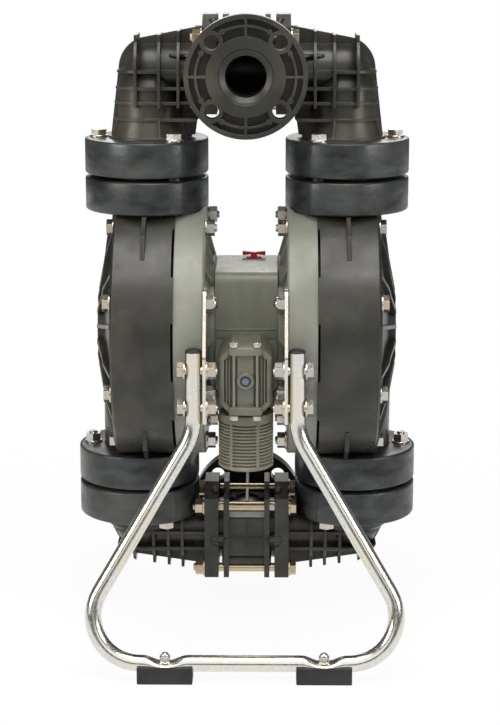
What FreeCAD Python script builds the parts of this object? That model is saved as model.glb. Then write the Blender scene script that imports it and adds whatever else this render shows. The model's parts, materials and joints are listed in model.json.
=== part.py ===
import FreeCAD
import Part
import math
import os

# Air-operated double diaphragm pump with 2 inch ports, in millimetres.
# Origin: on the floor under the middle of the pump. +Z is up, the discharge flange faces -Y,
# and the two diaphragm chambers lie left (-X) and right (+X) of the centre body.

V = FreeCAD.Vector
X_AXIS = V(1, 0, 0)
Y_AXIS = V(0, 1, 0)
Z_AXIS = V(0, 0, 1)

# Longer than the pump, for blocks that only trim
WIDE = 1000.0

# Clearances
SEAT_GAP = 0.3
RUNNING_FIT = 0.05
LOOSE_FIT = 0.3

# Chambers
CHAMBER_Z = 400.0
SEAM_X = 93.4
SEAM_GAP = 3.0
FLUID_RIM_R = 174.0
FLUID_RIM_X = 172.3
DOME_FOOT_R = FLUID_RIM_R - 35.0
DOME_SHOULDER_R = 100.0
DOME_SHOULDER_X = 189.0
DOME_FACE_R = 45.0
DOME_FACE_X = 198.0
DOME_WALL = 13.0
CAVITY_R = FLUID_RIM_R - 48.0
CAVITY_X = 140.0
AIR_RIM_R = FLUID_RIM_R - 3.0
AIR_FACE_X = 53.6
AIR_FLAT_R = FLUID_RIM_R - 35.0
AIR_HUB_R = 95.0
AIR_FLOOR_X = 58.0
CAP_RIBS = 16
CAP_RIB_T = 5.0
AIR_POCKET = 6.0
BEAD_R = FLUID_RIM_R - 28.0
PAD_INNER_R = FLUID_RIM_R - 26.0
PAD_ARC = 20.0
RIM_EDGE = 3.0
NECK_RIB_X = 129.0
NECK_RIB_L = 48.0

# Rim bolts round each chamber
RIM_BOLT_R = FLUID_RIM_R - 19.0
RIM_BOLTS = 8
M12_R = 6.0
M12_HOLE_R = 6.75
M12_AF = 19.0
M12_HEAD = 7.5
M12_NUT = 10.0
M12_CAP_NUT = 15.0
M12_END = 3.0
WASHER_R = 12.0
WASHER_T = 2.5

# Port joints between the caps and the manifolds
JOINT_H = FLUID_RIM_R + 34.0
TOP_PORT_X = 127.5
LOW_PORT_X = 142.0
RING_R = 86.5
RING_FLAT_R = 101.0
RING_GAP = 3.0
CAP_RING_T = 45.0
ELBOW_RING_T = 46.0
RING_EDGE = 4.0
RING_BOLT_R = 68.0
NECK_R = 52.0
LIP_R = 58.0
LIP_T = 12.0
PORT_BORE_R = 26.3
PORT_BORE_Z = 60.0

# Check valves
BALL_R = 30.0
SEAT_R = 45.0
SEAT_BORE_R = 24.0
SEAT_T = 10.0
SEAT_BEVEL = 3.0
CAGE_R = 38.0
CAGE_STOP_R = 14.0
CAGE_STOP_T = 6.0
CAGE_STOP_H = 10.0
BALL_TRAVEL = 12.0

# Manifolds
TOP_PORT_RISE = 136.0
LOW_PORT_DROP = 76.0
TOP_PORT_Z = CHAMBER_Z + JOINT_H + TOP_PORT_RISE
LOW_PORT_Z = CHAMBER_Z - JOINT_H - LOW_PORT_DROP
PORT_FACE_Y = 137.0
PORT_FLANGE_R = 77.5
PORT_FLANGE_T = 24.0
PORT_WEB_T = 10.0
PORT_RIM_T = 6.0
PORT_RIB_R = 62.7
PORT_RIB_T = 3.0
GASKET_FACE_R = 50.0
PORT_MOUTH_R = 35.5
PORT_MOUTH_DEPTH = 11.0
PORT_PCD = 120.65
PORT_HOLE_R = 9.5
PORT_BOSS_R = 14.5
PORT_BUMP_R = 3.6
PORT_BUMP_TURN = 28.0
PIPE_R = 33.0
BARREL_R = 36.0
TEE_FLANGE_IN = 24.0
TEE_FLANGE_OUT = 31.0
TEE_HUB_R = 41.0
TEE_FRONT = 50.0
TEE_FRONT_HALF = 29.0
TEE_FRONT_EDGE = 4.0
ELBOW_FLANGE_IN = 38.0
ELBOW_FLANGE_OUT = 57.0
FLANGE_HALF = 56.0
FLANGE_DROP = 54.0
FLANGE_EAVE = 57.0
FLANGE_TOP = 72.0
FLANGE_RIDGE = 22.0
POCKET_R = 11.0
POCKET_DEPTH = 7.0
SIDE_POCKET = 2.5
LUG_R = 4.5
LUG_L = 16.0
MANIFOLD_BOLT_Y = 45.0
MANIFOLD_BOLT_Z = 43.0
ORING_R = 33.0
ORING_WIRE_R = 2.2
FIN_T = 4.0
FIN_R = 47.0
CROWN_RISE = 57.0
CROWN_HEEL = (-62.5, -64.0)
CROWN_SHOULDER = (10.5, 41.0)
CROWN_TURN = (31.5, 27.0)
CROWN_BACK = (40.5, 4.0)
CROWN_FOOT = 51.5
CROWN_SOLE = 1.0
CROWN_FINS = (16.5, -14.0, -39.0)
CROWN_HORN = 45.5
CROWN_SHELVES = (-63.0, -41.5, -22.5, -1.0)
WING_Z = 18.0
WING_X = -27.0
WING_T = 3.0
KEEL_RISE = 44.0
KEEL_DROP = 52.0
KEEL_SHOULDER = (10.0, -37.5)
KEEL_TURN = (34.0, -15.0)
KEEL_BACK = (45.0, 12.0)
KEEL_HEEL = 50.0
KEEL_LIP = 3.0
KEEL_FINS = (-54.0, -35.0, -15.0, 12.0)
KEEL_SHELVES = (4.0, -18.0)
KEEL_COLLAR = 16.0
DUCT_R = 24.0
DUCT_WALL = 5.5

# Centre body
BODY_X = 41.0
BODY_Y = 75.0
BODY_DROP = 102.0
BODY_RISE = 86.0
BODY_BOTTOM_Z = CHAMBER_Z - BODY_DROP
BODY_TOP_Z = CHAMBER_Z + BODY_RISE
BODY_TOP_ROUND = 14.0
SHAFT_R = 15.0
BUSH_R = 21.0
BUSH_L = 24.0
SHAFT_RELIEF_R = 17.0
PILOT_R = 6.0
PILOT_Y = -45.0
PILOT_HALF = 62.0

# Diaphragms and shaft
SHAFT_HALF = 116.0
STUD_R = 9.0
DIAPHRAGM_T = 4.0
ROLL_OUT_R = FLUID_RIM_R - 54.0
ROLL_IN_R = ROLL_OUT_R - 36.0
ROLL_RISE = 12.0
INNER_PLATE_R = ROLL_IN_R - 4.0
INNER_PLATE_T = 9.0
OUTER_PLATE_R = ROLL_IN_R - 8.0
OUTER_PLATE_T = 8.0
PLATE_HUB_R = 26.0
PLATE_HUB_T = 20.0

# Air valve on the front of the centre body
VALVE_HALF_X = 33.7
VALVE_BOTTOM_Z = 317.0
VALVE_TOP_Z = 407.0
VALVE_CUT = 15.0
VALVE_BODY_Y = -140.0
VALVE_FRONT_Y = -165.0
VALVE_RIM = 4.0
VALVE_POCKET = 9.0
SPOOL_R = 13.0
SPOOL_Y = -108.0
SPOOL_HALF = 36.0
SPOOL_STROKE = 4.0
SPOOL_GROOVE = 3.5
PANEL_HALF = 10.5
PANEL_SINK = 4.0
BUTTON_Z = 362.0
BUTTON_R = 5.0
BUTTON_BOSS_R = 10.4
BUTTON_L = 16.0
BUTTON_STROKE = 3.0
VALVE_BOLT_X = 15.0
VALVE_BOLT_R = 3.5
VALVE_BOLT_SINK = 3.0
M6_AF = 10.0
M6_HEAD = 6.0
M6_NUT = 6.5

# Muffler under the air valve
MUFFLER_Y = -115.0
MUFFLER_R = 36.0
MUFFLER_BOTTOM_Z = 238.0
MUFFLER_TOP_Z = 312.0
MUFFLER_CORE_R = 32.0
MUFFLER_FINS = 9
MUFFLER_FIN_T = 2.2
MUFFLER_RIBS = 6
MUFFLER_RIB_W = 4.5
MUFFLER_STUB_R = 14.0

# Air inlet on top with its transport plug
INLET_X = 9.0
INLET_Y = 45.0
INLET_BORE_R = 10.5
INLET_DEPTH = 18.0
PLUG_FLANGE_R = 15.5
PLUG_FLANGE_T = 2.5
PLUG_GRIP_H = 6.0
PLUG_GRIP_T = 5.0

# Stand
TUBE_R = 10.5
TUBE_WALL = 2.0
STAND_TOP_X = 65.5
STAND_TOP_Y = FLUID_RIM_R + 11.0
STAND_TOP_Z = CHAMBER_Z + 5.0
STAND_KNEE_Z = CHAMBER_Z - 100.0
STAND_KNEE_R = 70.0
STAND_BASE_Y = STAND_TOP_Y + 85.0
STAND_BASE_Z = 23.0
STAND_CORNER_X = 235.0
STAND_CORNER_R = 59.0
PLATE_T = 4.0
PLATE_BOTTOM_Z = CHAMBER_Z - 89.0
PLATE_TOP_Z = CHAMBER_Z + 80.0
PLATE_OUT_Y = STAND_TOP_Y + 14.0
PLATE_IN_Y = FLUID_RIM_R - 46.0
PLATE_ROUND = 12.0
STAND_BOLT_ZS = (CHAMBER_Z - 67.0, CHAMBER_Z - 19.0)
PLUG_CAP_H = 5.0
PLUG_CAP_RIM = 2.0
PLUG_DEPTH = 14.0
FOOT_X = 100.0
FOOT_L = 72.0
FOOT_W = 32.0
FOOT_H = 22.0
FOOT_ROUND = 5.0
FOOT_SEAT = 3.5
PRESS_HALF = 21.0
PRESS_RISE = 1.5
M8_R = 4.0
M8_HOLE_R = 4.4
M8_AF = 13.0
M8_HEAD = 4.0
M8_CAP_NUT = 13.0


def box(x0, x1, y0, y1, z0, z1):
    """Box between two corners, given in any order."""
    low = V(min(x0, x1), min(y0, y1), min(z0, z1))
    return Part.makeBox(abs(x1 - x0), abs(y1 - y0), abs(z1 - z0), low)


def rod(radius, start, direction, length):
    """Cylinder from a start point along a direction."""
    return Part.makeCylinder(radius, length, start, direction)


def slab(points, normal, thickness):
    """Flat plate from a closed outline, thickened along its normal."""
    outline = Part.makePolygon(list(points) + [points[0]])
    return Part.Face(outline).extrude(normal * thickness)


def turned(points, centre, axis):
    """Solid of revolution from (along, radius) points about an axis through a centre."""
    side = Z_AXIS if abs(axis.z) < 0.5 else X_AXIS
    line = [centre + axis * along + side * radius for along, radius in points]
    face = Part.Face(Part.makePolygon(line + [line[0]]))
    return face.revolve(centre, axis, 360)


def hexagon(across_flats, start, direction, height, turn=0.0):
    """Hexagonal prism for bolt heads and nuts."""
    side = Z_AXIS if abs(direction.z) < 0.5 else X_AXIS
    other = direction.cross(side)
    radius = across_flats / math.sqrt(3)
    points = []
    for step in range(6):
        angle = math.radians(60 * step + 30 + turn)
        points.append(start + side * (radius * math.cos(angle)) + other * (radius * math.sin(angle)))
    return slab(points, direction, height)


def joined(shapes):
    """One solid from shapes that overlap."""
    first, rest = shapes[0], shapes[1:]
    return first.fuse(rest).removeSplitter() if rest else first


def group(shapes):
    """Separate solids that share one node."""
    return Part.makeCompound([solid for shape in shapes for solid in shape.Solids])


def flipped(shape, normal=X_AXIS):
    """Mirror image through the origin plane with this normal."""
    return shape.mirror(V(0, 0, 0), normal)


def rounded(shape, radius, direction):
    """Shape with its straight edges along one direction rounded."""
    edges = []
    for edge in shape.Edges:
        if edge.Curve.TypeId == "Part::GeomLine" and edge.Curve.Direction.cross(direction).Length < 1e-6:
            edges.append(edge)
    return shape.makeFillet(radius, edges)


def bolt(seat, direction, length, radius, across_flats, head):
    """Hex bolt with its washer: the head stands behind the seat and the shank runs ahead of it."""
    washer = rod(radius * 2, seat - direction * WASHER_T, direction, WASHER_T)
    cap = hexagon(across_flats, seat - direction * (WASHER_T + head), direction, head)
    shank = rod(radius, seat - direction, direction, length + 1)
    return joined([washer, cap, shank])


def nut(seat, direction, radius, across_flats, height):
    """Hex nut on its washer, standing on the seat and bored for the bolt."""
    washer = rod(radius * 2, seat, direction, WASHER_T)
    body = hexagon(across_flats, seat + direction * WASHER_T, direction, height)
    return joined([washer, body]).cut(rod(radius, seat - direction, direction, height + WASHER_T + 2))


def cap_nut(seat, direction, radius, across_flats, height):
    """Domed nut that closes over the end of its bolt."""
    flats = height * 0.55
    body = hexagon(across_flats, seat, direction, flats)
    dome_r = across_flats / 2 - 0.8
    dome = turned([(flats - 0.5, 0), (flats - 0.5, dome_r), (height - 3, dome_r * 0.75),
                   (height, dome_r * 0.3), (height, 0)], seat, direction)
    return joined([body, dome]).cut(rod(radius, seat - direction, direction, flats + 1))


def port_points(port_x):
    """Ring bolt places about a port: one straight outward and two beside the centre body."""
    angles = (0, 120, 240)
    return [(port_x + RING_BOLT_R * math.cos(math.radians(a)), RING_BOLT_R * math.sin(math.radians(a)))
            for a in angles]


def ring_outline(port_x, z, grow=0.0):
    """Outline of a clamp ring: a round outer side and a flatter side towards the centre."""
    outer = RING_R + grow
    flat = RING_FLAT_R + grow
    corner = V(-outer * 0.5, outer * math.sqrt(0.75), 0)
    reach = math.sqrt(flat ** 2 - corner.y ** 2) - flat - corner.x * -1
    middle = V(port_x, 0, z)
    upper = middle + corner
    lower = middle + V(corner.x, -corner.y, 0)
    round_side = Part.Arc(upper, middle + V(outer, 0, 0), lower).toShape()
    flat_side = Part.Arc(lower, middle + V(reach, 0, 0), upper).toShape()
    return Part.Wire([round_side, flat_side])


def ring_prism(port_x, z0, z1, grow=0.0):
    """Solid block with the clamp ring's outline."""
    return Part.Face(ring_outline(port_x, z0, grow)).extrude(V(0, 0, z1 - z0))


def nut_sunk(place, side):
    """Every nut of an upper joint is sunk in its ring, and the two inner nuts of a lower one."""
    return side > 0 or place > 0


def clamp_ring(port_x, joint_z, away, thickness, nut_side):
    """Loose flange ring round a neck, on one side of its joint plane."""
    near = joint_z + away * RING_GAP / 2
    far = near + away * thickness
    ring = ring_prism(port_x, min(near, far), max(near, far))
    edges = []
    for edge in ring.Edges:
        if abs(edge.BoundBox.ZLength) < 0.01:
            edges.append(edge)
    ring = ring.makeChamfer(RING_EDGE * 0.5, edges)
    up = V(0, 0, away)
    start = V(port_x, 0, near) - up
    cuts = [rod(NECK_R + LOOSE_FIT, start, up, thickness + 2),
            rod(LIP_R + LOOSE_FIT, start, up, LIP_T - RING_GAP / 2 + 1 + LOOSE_FIT)]
    for place, (x, y) in enumerate(port_points(port_x)):
        cuts.append(rod(M12_HOLE_R, V(x, y, near) - up, up, thickness + 2))
        if nut_side and nut_sunk(place, -away):
            cuts.append(rod(WASHER_R + 0.5, V(x, y, far - away * (M12_NUT + WASHER_T)), up, thickness))
    return ring.cut(cuts)


def ring_reliefs(port_x, side):
    """Room that the cap ring and its sunk bolt ends take out of the chamber caps."""
    near = CHAMBER_Z + side * (JOINT_H - RING_GAP / 2 - CAP_RING_T - SEAT_GAP)
    far = CHAMBER_Z + side * (JOINT_H + ELBOW_RING_T)
    room = ring_prism(port_x, min(near, far), max(near, far), 2.0)
    room = room.cut(rod(NECK_R, V(port_x, 0, near - 1 if side > 0 else far - 1), Z_AXIS, abs(far - near) + 2))
    ends = []
    for x, y in port_points(port_x):
        low = near - side * (M12_END + 1)
        ends.append(rod(M12_HOLE_R + 1, V(x, y, min(low, near)), Z_AXIS, M12_END + 1.5))
    return [room] + ends


def rim_places():
    """Rim bolt places in the YZ plane."""
    places = []
    for step in range(RIM_BOLTS):
        angle = math.radians(22.5 + 45 * step)
        places.append((RIM_BOLT_R * math.cos(angle), CHAMBER_Z + RIM_BOLT_R * math.sin(angle)))
    return places


def neck_rib(side):
    """Kinked gussets on the cap's band, from the cap ring down the drum, front and rear."""
    ring_z = CHAMBER_Z + side * (JOINT_H - RING_GAP / 2 - CAP_RING_T - SEAT_GAP)
    outline = [(-40, 0), (-RING_R - 1, 0), (-120, NECK_RIB_L * 0.4), (-133, NECK_RIB_L), (-100, NECK_RIB_L)]
    points = [V(NECK_RIB_X, y, ring_z - side * drop) for y, drop in outline]
    front = slab(points, X_AXIS, CAP_RIB_T + 0.5)
    return [front, flipped(front, Y_AXIS)]


def ball_lift():
    """Height of a resting ball's centre above its joint plane."""
    edge = SEAT_T / 2 - SEAT_BEVEL
    return edge + math.sqrt((BALL_R + SEAT_GAP) ** 2 - SEAT_BORE_R ** 2)


def cage_stop_z(seat_top):
    """Height of the cage fins that stop the ball at the end of its travel."""
    reach = math.sqrt((BALL_R + SEAT_GAP) ** 2 - CAGE_STOP_R ** 2)
    return seat_top - SEAT_T / 2 + ball_lift() + BALL_TRAVEL + reach


def cage(port_x, seat_top):
    """Ball cage as a hollow: a round chamber whose upper end keeps four stop fins."""
    stop = cage_stop_z(seat_top)
    hollow = rod(CAGE_R, V(port_x, 0, seat_top), Z_AXIS, stop + CAGE_STOP_H - seat_top)
    fins = []
    for turn in range(4):
        fin = box(CAGE_STOP_R, CAGE_R + 1, -CAGE_STOP_T / 2, CAGE_STOP_T / 2, stop, stop + CAGE_STOP_H + 1)
        fin.rotate(V(0, 0, 0), Z_AXIS, 45 + 90 * turn)
        fin.translate(V(port_x, 0, 0))
        fins.append(fin)
    return hollow.cut(fins)


def fluid_cap():
    """Right fluid cap: a deep drum with a ribbed dome and two ported necks."""
    seam = SEAM_X + SEAM_GAP / 2
    centre = V(0, 0, CHAMBER_Z)
    drum = turned([(seam, 0), (seam, FLUID_RIM_R), (FLUID_RIM_X - RIM_EDGE, FLUID_RIM_R),
                   (FLUID_RIM_X, FLUID_RIM_R - RIM_EDGE), (FLUID_RIM_X, DOME_FOOT_R),
                   (FLUID_RIM_X + 3, DOME_FOOT_R - 4), (DOME_SHOULDER_X - 9, DOME_SHOULDER_R),
                   (DOME_FACE_X - 8, DOME_FACE_R), (DOME_FACE_X - 8, 0)], centre, X_AXIS)
    ribs = []
    root_x = FLUID_RIM_X - 8
    for step in range(CAP_RIBS):
        rib = slab([V(root_x, 0, DOME_FACE_R - 3), V(root_x, 0, FLUID_RIM_R - 6),
                    V(FLUID_RIM_X + 1, 0, FLUID_RIM_R - 6), V(DOME_SHOULDER_X - 4, 0, DOME_FOOT_R - 12),
                    V(DOME_SHOULDER_X, 0, DOME_SHOULDER_R), V(DOME_FACE_X, 0, DOME_FACE_R + 10),
                    V(DOME_FACE_X, 0, DOME_FACE_R - 3)], Y_AXIS, CAP_RIB_T)
        rib.translate(V(0, -CAP_RIB_T / 2, 0))
        rib.rotate(V(0, 0, 0), X_AXIS, 360.0 / CAP_RIBS * (step + 0.5))
        rib.translate(centre)
        ribs.append(rib)
    boss = rod(DOME_FACE_R, V(root_x, 0, CHAMBER_Z), X_AXIS, DOME_FACE_X - root_x)
    pads = []
    for step in range(RIM_BOLTS):
        pad = turned_arc(seam - SEAM_GAP, seam + 1, PAD_INNER_R, FLUID_RIM_R, 45 * step + 22.5, PAD_ARC)
        pad.translate(centre)
        pads.append(pad)
    solids = [drum, boss] + ribs + pads
    for port_x, side in ((TOP_PORT_X, 1), (LOW_PORT_X, -1)):
        pad_z = CHAMBER_Z + side * (JOINT_H - RING_GAP / 2 - CAP_RING_T - SEAT_GAP)
        joint_z = CHAMBER_Z + side * JOINT_H
        root_z = CHAMBER_Z + side * PORT_BORE_Z
        neck = rod(NECK_R, V(port_x, 0, min(root_z, pad_z)), Z_AXIS, abs(pad_z - root_z))
        solids.append(neck.common(box(seam, WIDE, -WIDE, WIDE, 0, WIDE)))
        solids.append(rod(NECK_R, V(port_x, 0, min(pad_z, joint_z)), Z_AXIS, abs(joint_z - pad_z)))
        lip_z = joint_z - side * LIP_T
        solids.append(rod(LIP_R, V(port_x, 0, min(lip_z, joint_z)), Z_AXIS, LIP_T))
        solids += neck_rib(side)
    cap = joined(solids)
    depth = DOME_SHOULDER_X - DOME_WALL
    cavity = turned([(seam - 1, 0), (seam - 1, CAVITY_R), (CAVITY_X, CAVITY_R), (depth - 10, DOME_SHOULDER_R - 8),
                     (depth, DOME_FACE_R), (depth, 0)], centre, X_AXIS)
    top_joint = CHAMBER_Z + JOINT_H
    low_joint = CHAMBER_Z - JOINT_H
    low_seat_top = low_joint + SEAT_T / 2
    cuts = [cavity,
            rod(PORT_BORE_R, V(TOP_PORT_X, 0, CHAMBER_Z + PORT_BORE_Z), Z_AXIS, JOINT_H),
            rod(SEAT_R + RUNNING_FIT, V(TOP_PORT_X, 0, top_joint - SEAT_T / 2), Z_AXIS, SEAT_T),
            rod(SEAT_R + RUNNING_FIT, V(LOW_PORT_X, 0, low_joint - 1), Z_AXIS, SEAT_T / 2 + 1),
            cage(LOW_PORT_X, low_seat_top),
            rod(PORT_BORE_R, V(LOW_PORT_X, 0, low_joint), Z_AXIS, JOINT_H - PORT_BORE_Z)]
    cuts += ring_reliefs(TOP_PORT_X, 1) + ring_reliefs(LOW_PORT_X, -1)
    for y, z in rim_places():
        cuts.append(rod(M12_HOLE_R, V(0, y, z), X_AXIS, WIDE))
        cuts.append(rod(WASHER_R + 1, V(FLUID_RIM_X, y, z), X_AXIS, WIDE))
    return cap.cut(cuts)


def turned_arc(x0, x1, r0, r1, middle, half):
    """Part of a ring about the X axis, centred on one angle."""
    face = Part.Face(Part.makePolygon([V(x0, r0, 0), V(x1, r0, 0), V(x1, r1, 0), V(x0, r1, 0), V(x0, r0, 0)]))
    face.rotate(V(0, 0, 0), X_AXIS, middle - half / 2)
    return face.revolve(V(0, 0, 0), X_AXIS, half)


def air_cap():
    """Right air cap: a shallow ribbed cone that closes the air side of the chamber."""
    seam = SEAM_X - SEAM_GAP / 2
    centre = V(0, 0, CHAMBER_Z)
    shell = turned([(BODY_X, 0), (BODY_X, AIR_HUB_R), (AIR_FACE_X, AIR_FLAT_R), (AIR_FACE_X, AIR_RIM_R - 2),
                    (AIR_FACE_X + 2, AIR_RIM_R), (seam, AIR_RIM_R), (seam, 0)], centre, X_AXIS)
    slope = (AIR_FACE_X - BODY_X) / (AIR_FLAT_R - AIR_HUB_R)
    pocket_in = AIR_HUB_R + 4
    pocket_out = AIR_FLAT_R - 4
    pocket_x = BODY_X + AIR_POCKET
    pocket_end = pocket_x + slope * (pocket_out - AIR_HUB_R)
    pocket_ring = turned([(BODY_X - 5, pocket_in), (pocket_x + slope * 4, pocket_in),
                          (pocket_end, pocket_out), (BODY_X - 5, pocket_out)], centre, X_AXIS)
    webs = []
    for step in range(CAP_RIBS):
        web = box(BODY_X - 6, AIR_FLOOR_X + 8, -CAP_RIB_T / 2, CAP_RIB_T / 2, AIR_HUB_R, AIR_FLAT_R)
        web.rotate(V(0, 0, 0), X_AXIS, 360.0 / CAP_RIBS * step)
        web.translate(centre)
        webs.append(web)
    cavity = turned([(seam + 1, 0), (seam + 1, CAVITY_R), (seam - 9, CAVITY_R), (AIR_FLOOR_X + 6, AIR_HUB_R),
                     (AIR_FLOOR_X, AIR_HUB_R - 12), (AIR_FLOOR_X, 0)], centre, X_AXIS)
    cuts = [pocket_ring.cut(webs), cavity,
            rod(BUSH_R + 3, V(0, 0, CHAMBER_Z), X_AXIS, WIDE),
            rod(PILOT_R + 1, V(0, PILOT_Y, CHAMBER_Z), X_AXIS, WIDE)]
    cuts += ring_reliefs(TOP_PORT_X, 1) + ring_reliefs(LOW_PORT_X, -1)
    for port_x, side in ((TOP_PORT_X, 1), (LOW_PORT_X, -1)):
        pad_z = CHAMBER_Z + side * (JOINT_H - RING_GAP / 2 - CAP_RING_T - 2 * SEAT_GAP)
        cuts.append(rod(NECK_R + SEAT_GAP, V(port_x, 0, pad_z), V(0, 0, side), JOINT_H))
    for y, z in rim_places():
        cuts.append(rod(M12_HOLE_R, V(BODY_X, y, z), X_AXIS, SEAM_X))
    return shell.cut(cuts)


def center_body():
    """Middle section with the shaft bore, the pilot bore, the air inlet and the valve face."""
    block = box(-BODY_X, BODY_X, -BODY_Y, BODY_Y, BODY_BOTTOM_Z, BODY_TOP_Z)
    block = rounded(block, BODY_TOP_ROUND, X_AXIS)
    cuts = [rod(SHAFT_RELIEF_R, V(-BODY_X - 1, 0, CHAMBER_Z), X_AXIS, 2 * BODY_X + 2),
            rod(PILOT_R + RUNNING_FIT, V(-BODY_X - 1, PILOT_Y, CHAMBER_Z), X_AXIS, 2 * BODY_X + 2),
            rod(INLET_BORE_R, V(INLET_X, INLET_Y, BODY_TOP_Z - INLET_DEPTH), Z_AXIS, INLET_DEPTH + 1)]
    for side in (-1, 1):
        cuts.append(rod(BUSH_R, V(side * (BODY_X - BUSH_L), 0, CHAMBER_Z), V(side, 0, 0), BUSH_L + 1))
    return block.cut(cuts)


def shaft_bushes():
    """Plain bearings at both ends of the shaft bore."""
    bush = turned([(BODY_X - BUSH_L, SHAFT_R + RUNNING_FIT), (BODY_X - BUSH_L, BUSH_R), (BODY_X, BUSH_R),
                   (BODY_X, SHAFT_R + RUNNING_FIT)], V(0, 0, CHAMBER_Z), X_AXIS)
    return group([bush, flipped(bush)])


def main_shaft():
    """Shaft that ties both diaphragms together, with a threaded stud at each end."""
    stud = SEAM_X - DIAPHRAGM_T / 2 - INNER_PLATE_T
    half = [(0, 0), (0, SHAFT_R), (stud, SHAFT_R), (stud, STUD_R), (SHAFT_HALF, STUD_R), (SHAFT_HALF, 0)]
    shaft = turned(half, V(0, 0, CHAMBER_Z), X_AXIS)
    return joined([shaft, flipped(shaft)])


def pilot_rod():
    """Thin rod that an inner plate pushes at each end of the stroke."""
    return rod(PILOT_R, V(-PILOT_HALF, PILOT_Y, CHAMBER_Z), X_AXIS, 2 * PILOT_HALF)


def diaphragm():
    """Right diaphragm: a clamped bead, a rolled convolution and a flat middle."""
    low = SEAM_X - DIAPHRAGM_T / 2
    high = SEAM_X + DIAPHRAGM_T / 2
    bead_low = SEAM_X - SEAM_GAP / 2
    bead_high = SEAM_X + SEAM_GAP / 2
    roll = (ROLL_IN_R + ROLL_OUT_R) / 2
    flank = ROLL_RISE * 0.7
    outline = [(low, STUD_R + RUNNING_FIT), (high, STUD_R + RUNNING_FIT), (high, ROLL_IN_R),
               (high + flank, roll - 11), (high + ROLL_RISE, roll), (high + flank, roll + 11),
               (bead_high, ROLL_OUT_R), (bead_high, BEAD_R), (bead_low, BEAD_R), (bead_low, ROLL_OUT_R - 2),
               (low + flank, roll + 7), (low + ROLL_RISE, roll), (low + flank, roll - 7), (low, ROLL_IN_R)]
    return turned(outline, V(0, 0, CHAMBER_Z), X_AXIS)


def inner_plate():
    """Right air-side plate of the diaphragm."""
    face = SEAM_X - DIAPHRAGM_T / 2
    outline = [(face, STUD_R), (face, INNER_PLATE_R - 4), (face - 3, INNER_PLATE_R),
               (face - 6, INNER_PLATE_R - 3), (face - INNER_PLATE_T, INNER_PLATE_R - 22),
               (face - INNER_PLATE_T, STUD_R)]
    return turned(outline, V(0, 0, CHAMBER_Z), X_AXIS)


def outer_plate():
    """Right fluid-side plate, with a closed hub screwed on the shaft's stud."""
    face = SEAM_X + DIAPHRAGM_T / 2
    outline = [(face, STUD_R), (face, OUTER_PLATE_R - 4), (face + 3, OUTER_PLATE_R),
               (face + OUTER_PLATE_T, OUTER_PLATE_R - 22), (face + PLATE_HUB_T - 4, PLATE_HUB_R),
               (face + PLATE_HUB_T + 3, PLATE_HUB_R - 8), (face + PLATE_HUB_T + 3, 0),
               (SHAFT_HALF, 0), (SHAFT_HALF, STUD_R)]
    return turned(outline, V(0, 0, CHAMBER_Z), X_AXIS)


def ball_seat(port_x, joint_z):
    """Ring that each ball closes, with a bevelled mouth."""
    half = SEAT_T / 2
    outline = [(-half, SEAT_BORE_R), (-half, SEAT_R), (half, SEAT_R), (half, SEAT_BORE_R + SEAT_BEVEL),
               (half - SEAT_BEVEL, SEAT_BORE_R)]
    return turned(outline, V(port_x, 0, joint_z), Z_AXIS)


def ball(port_x, joint_z):
    """Ball resting on its seat."""
    return Part.makeSphere(BALL_R, V(port_x, 0, joint_z + ball_lift()))


def flange_block(port_z, x0, x1):
    """Joint flange with a low roof, and its share of the round pockets at the joint plane."""
    low = port_z - FLANGE_DROP
    eave = port_z + FLANGE_EAVE
    top = port_z + FLANGE_TOP
    points = [V(x0, -FLANGE_HALF, low), V(x0, FLANGE_HALF, low), V(x0, FLANGE_HALF, eave),
              V(x0, FLANGE_RIDGE, top), V(x0, -FLANGE_RIDGE, top), V(x0, -FLANGE_HALF, eave)]
    joint_x = ELBOW_FLANGE_IN if x1 > 0 else -ELBOW_FLANGE_IN
    return slab(points, X_AXIS, x1 - x0).cut(flange_pockets(joint_x, port_z))


def flange_pockets(joint_x, port_z):
    """Round pockets on both roof slopes and both sides of the flanges that meet at a joint."""
    pockets = []
    for face in (-1, 1):
        slope = V(0, face * (FLANGE_TOP - FLANGE_EAVE), FLANGE_HALF - FLANGE_RIDGE).normalize()
        middle = V(joint_x, face * (FLANGE_HALF + FLANGE_RIDGE) / 2, port_z + (FLANGE_TOP + FLANGE_EAVE) / 2)
        pockets.append(turned([(1, 0), (1, POCKET_R), (0, POCKET_R), (-POCKET_DEPTH, POCKET_R * 0.6),
                               (-POCKET_DEPTH, 0)], middle, slope))
        side = V(joint_x, face * (FLANGE_HALF - SIDE_POCKET), port_z)
        pockets.append(rod(POCKET_R, side, Y_AXIS * face, SIDE_POCKET + 1))
    return pockets


def flange_lug(port_z, face):
    """Locating lug of an elbow flange that bridges the gap to the tee's flange, away from the pipe flange."""
    start = V(TEE_FLANGE_OUT + SEAT_GAP, face * (FLANGE_HALF - LUG_R), port_z)
    return rod(LUG_R, start, X_AXIS, LUG_L)


def bolt_corners(port_z):
    """Four through bolts round each manifold run."""
    return [(y, port_z + z) for y in (-MANIFOLD_BOLT_Y, MANIFOLD_BOLT_Y)
            for z in (-MANIFOLD_BOLT_Z, MANIFOLD_BOLT_Z)]


def bolt_holes(port_z, x0, x1):
    """Clearance holes for the through bolts between two X planes."""
    return [rod(M12_HOLE_R, V(x0 - 1, y, z), X_AXIS, x1 - x0 + 2) for y, z in bolt_corners(port_z)]


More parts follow.
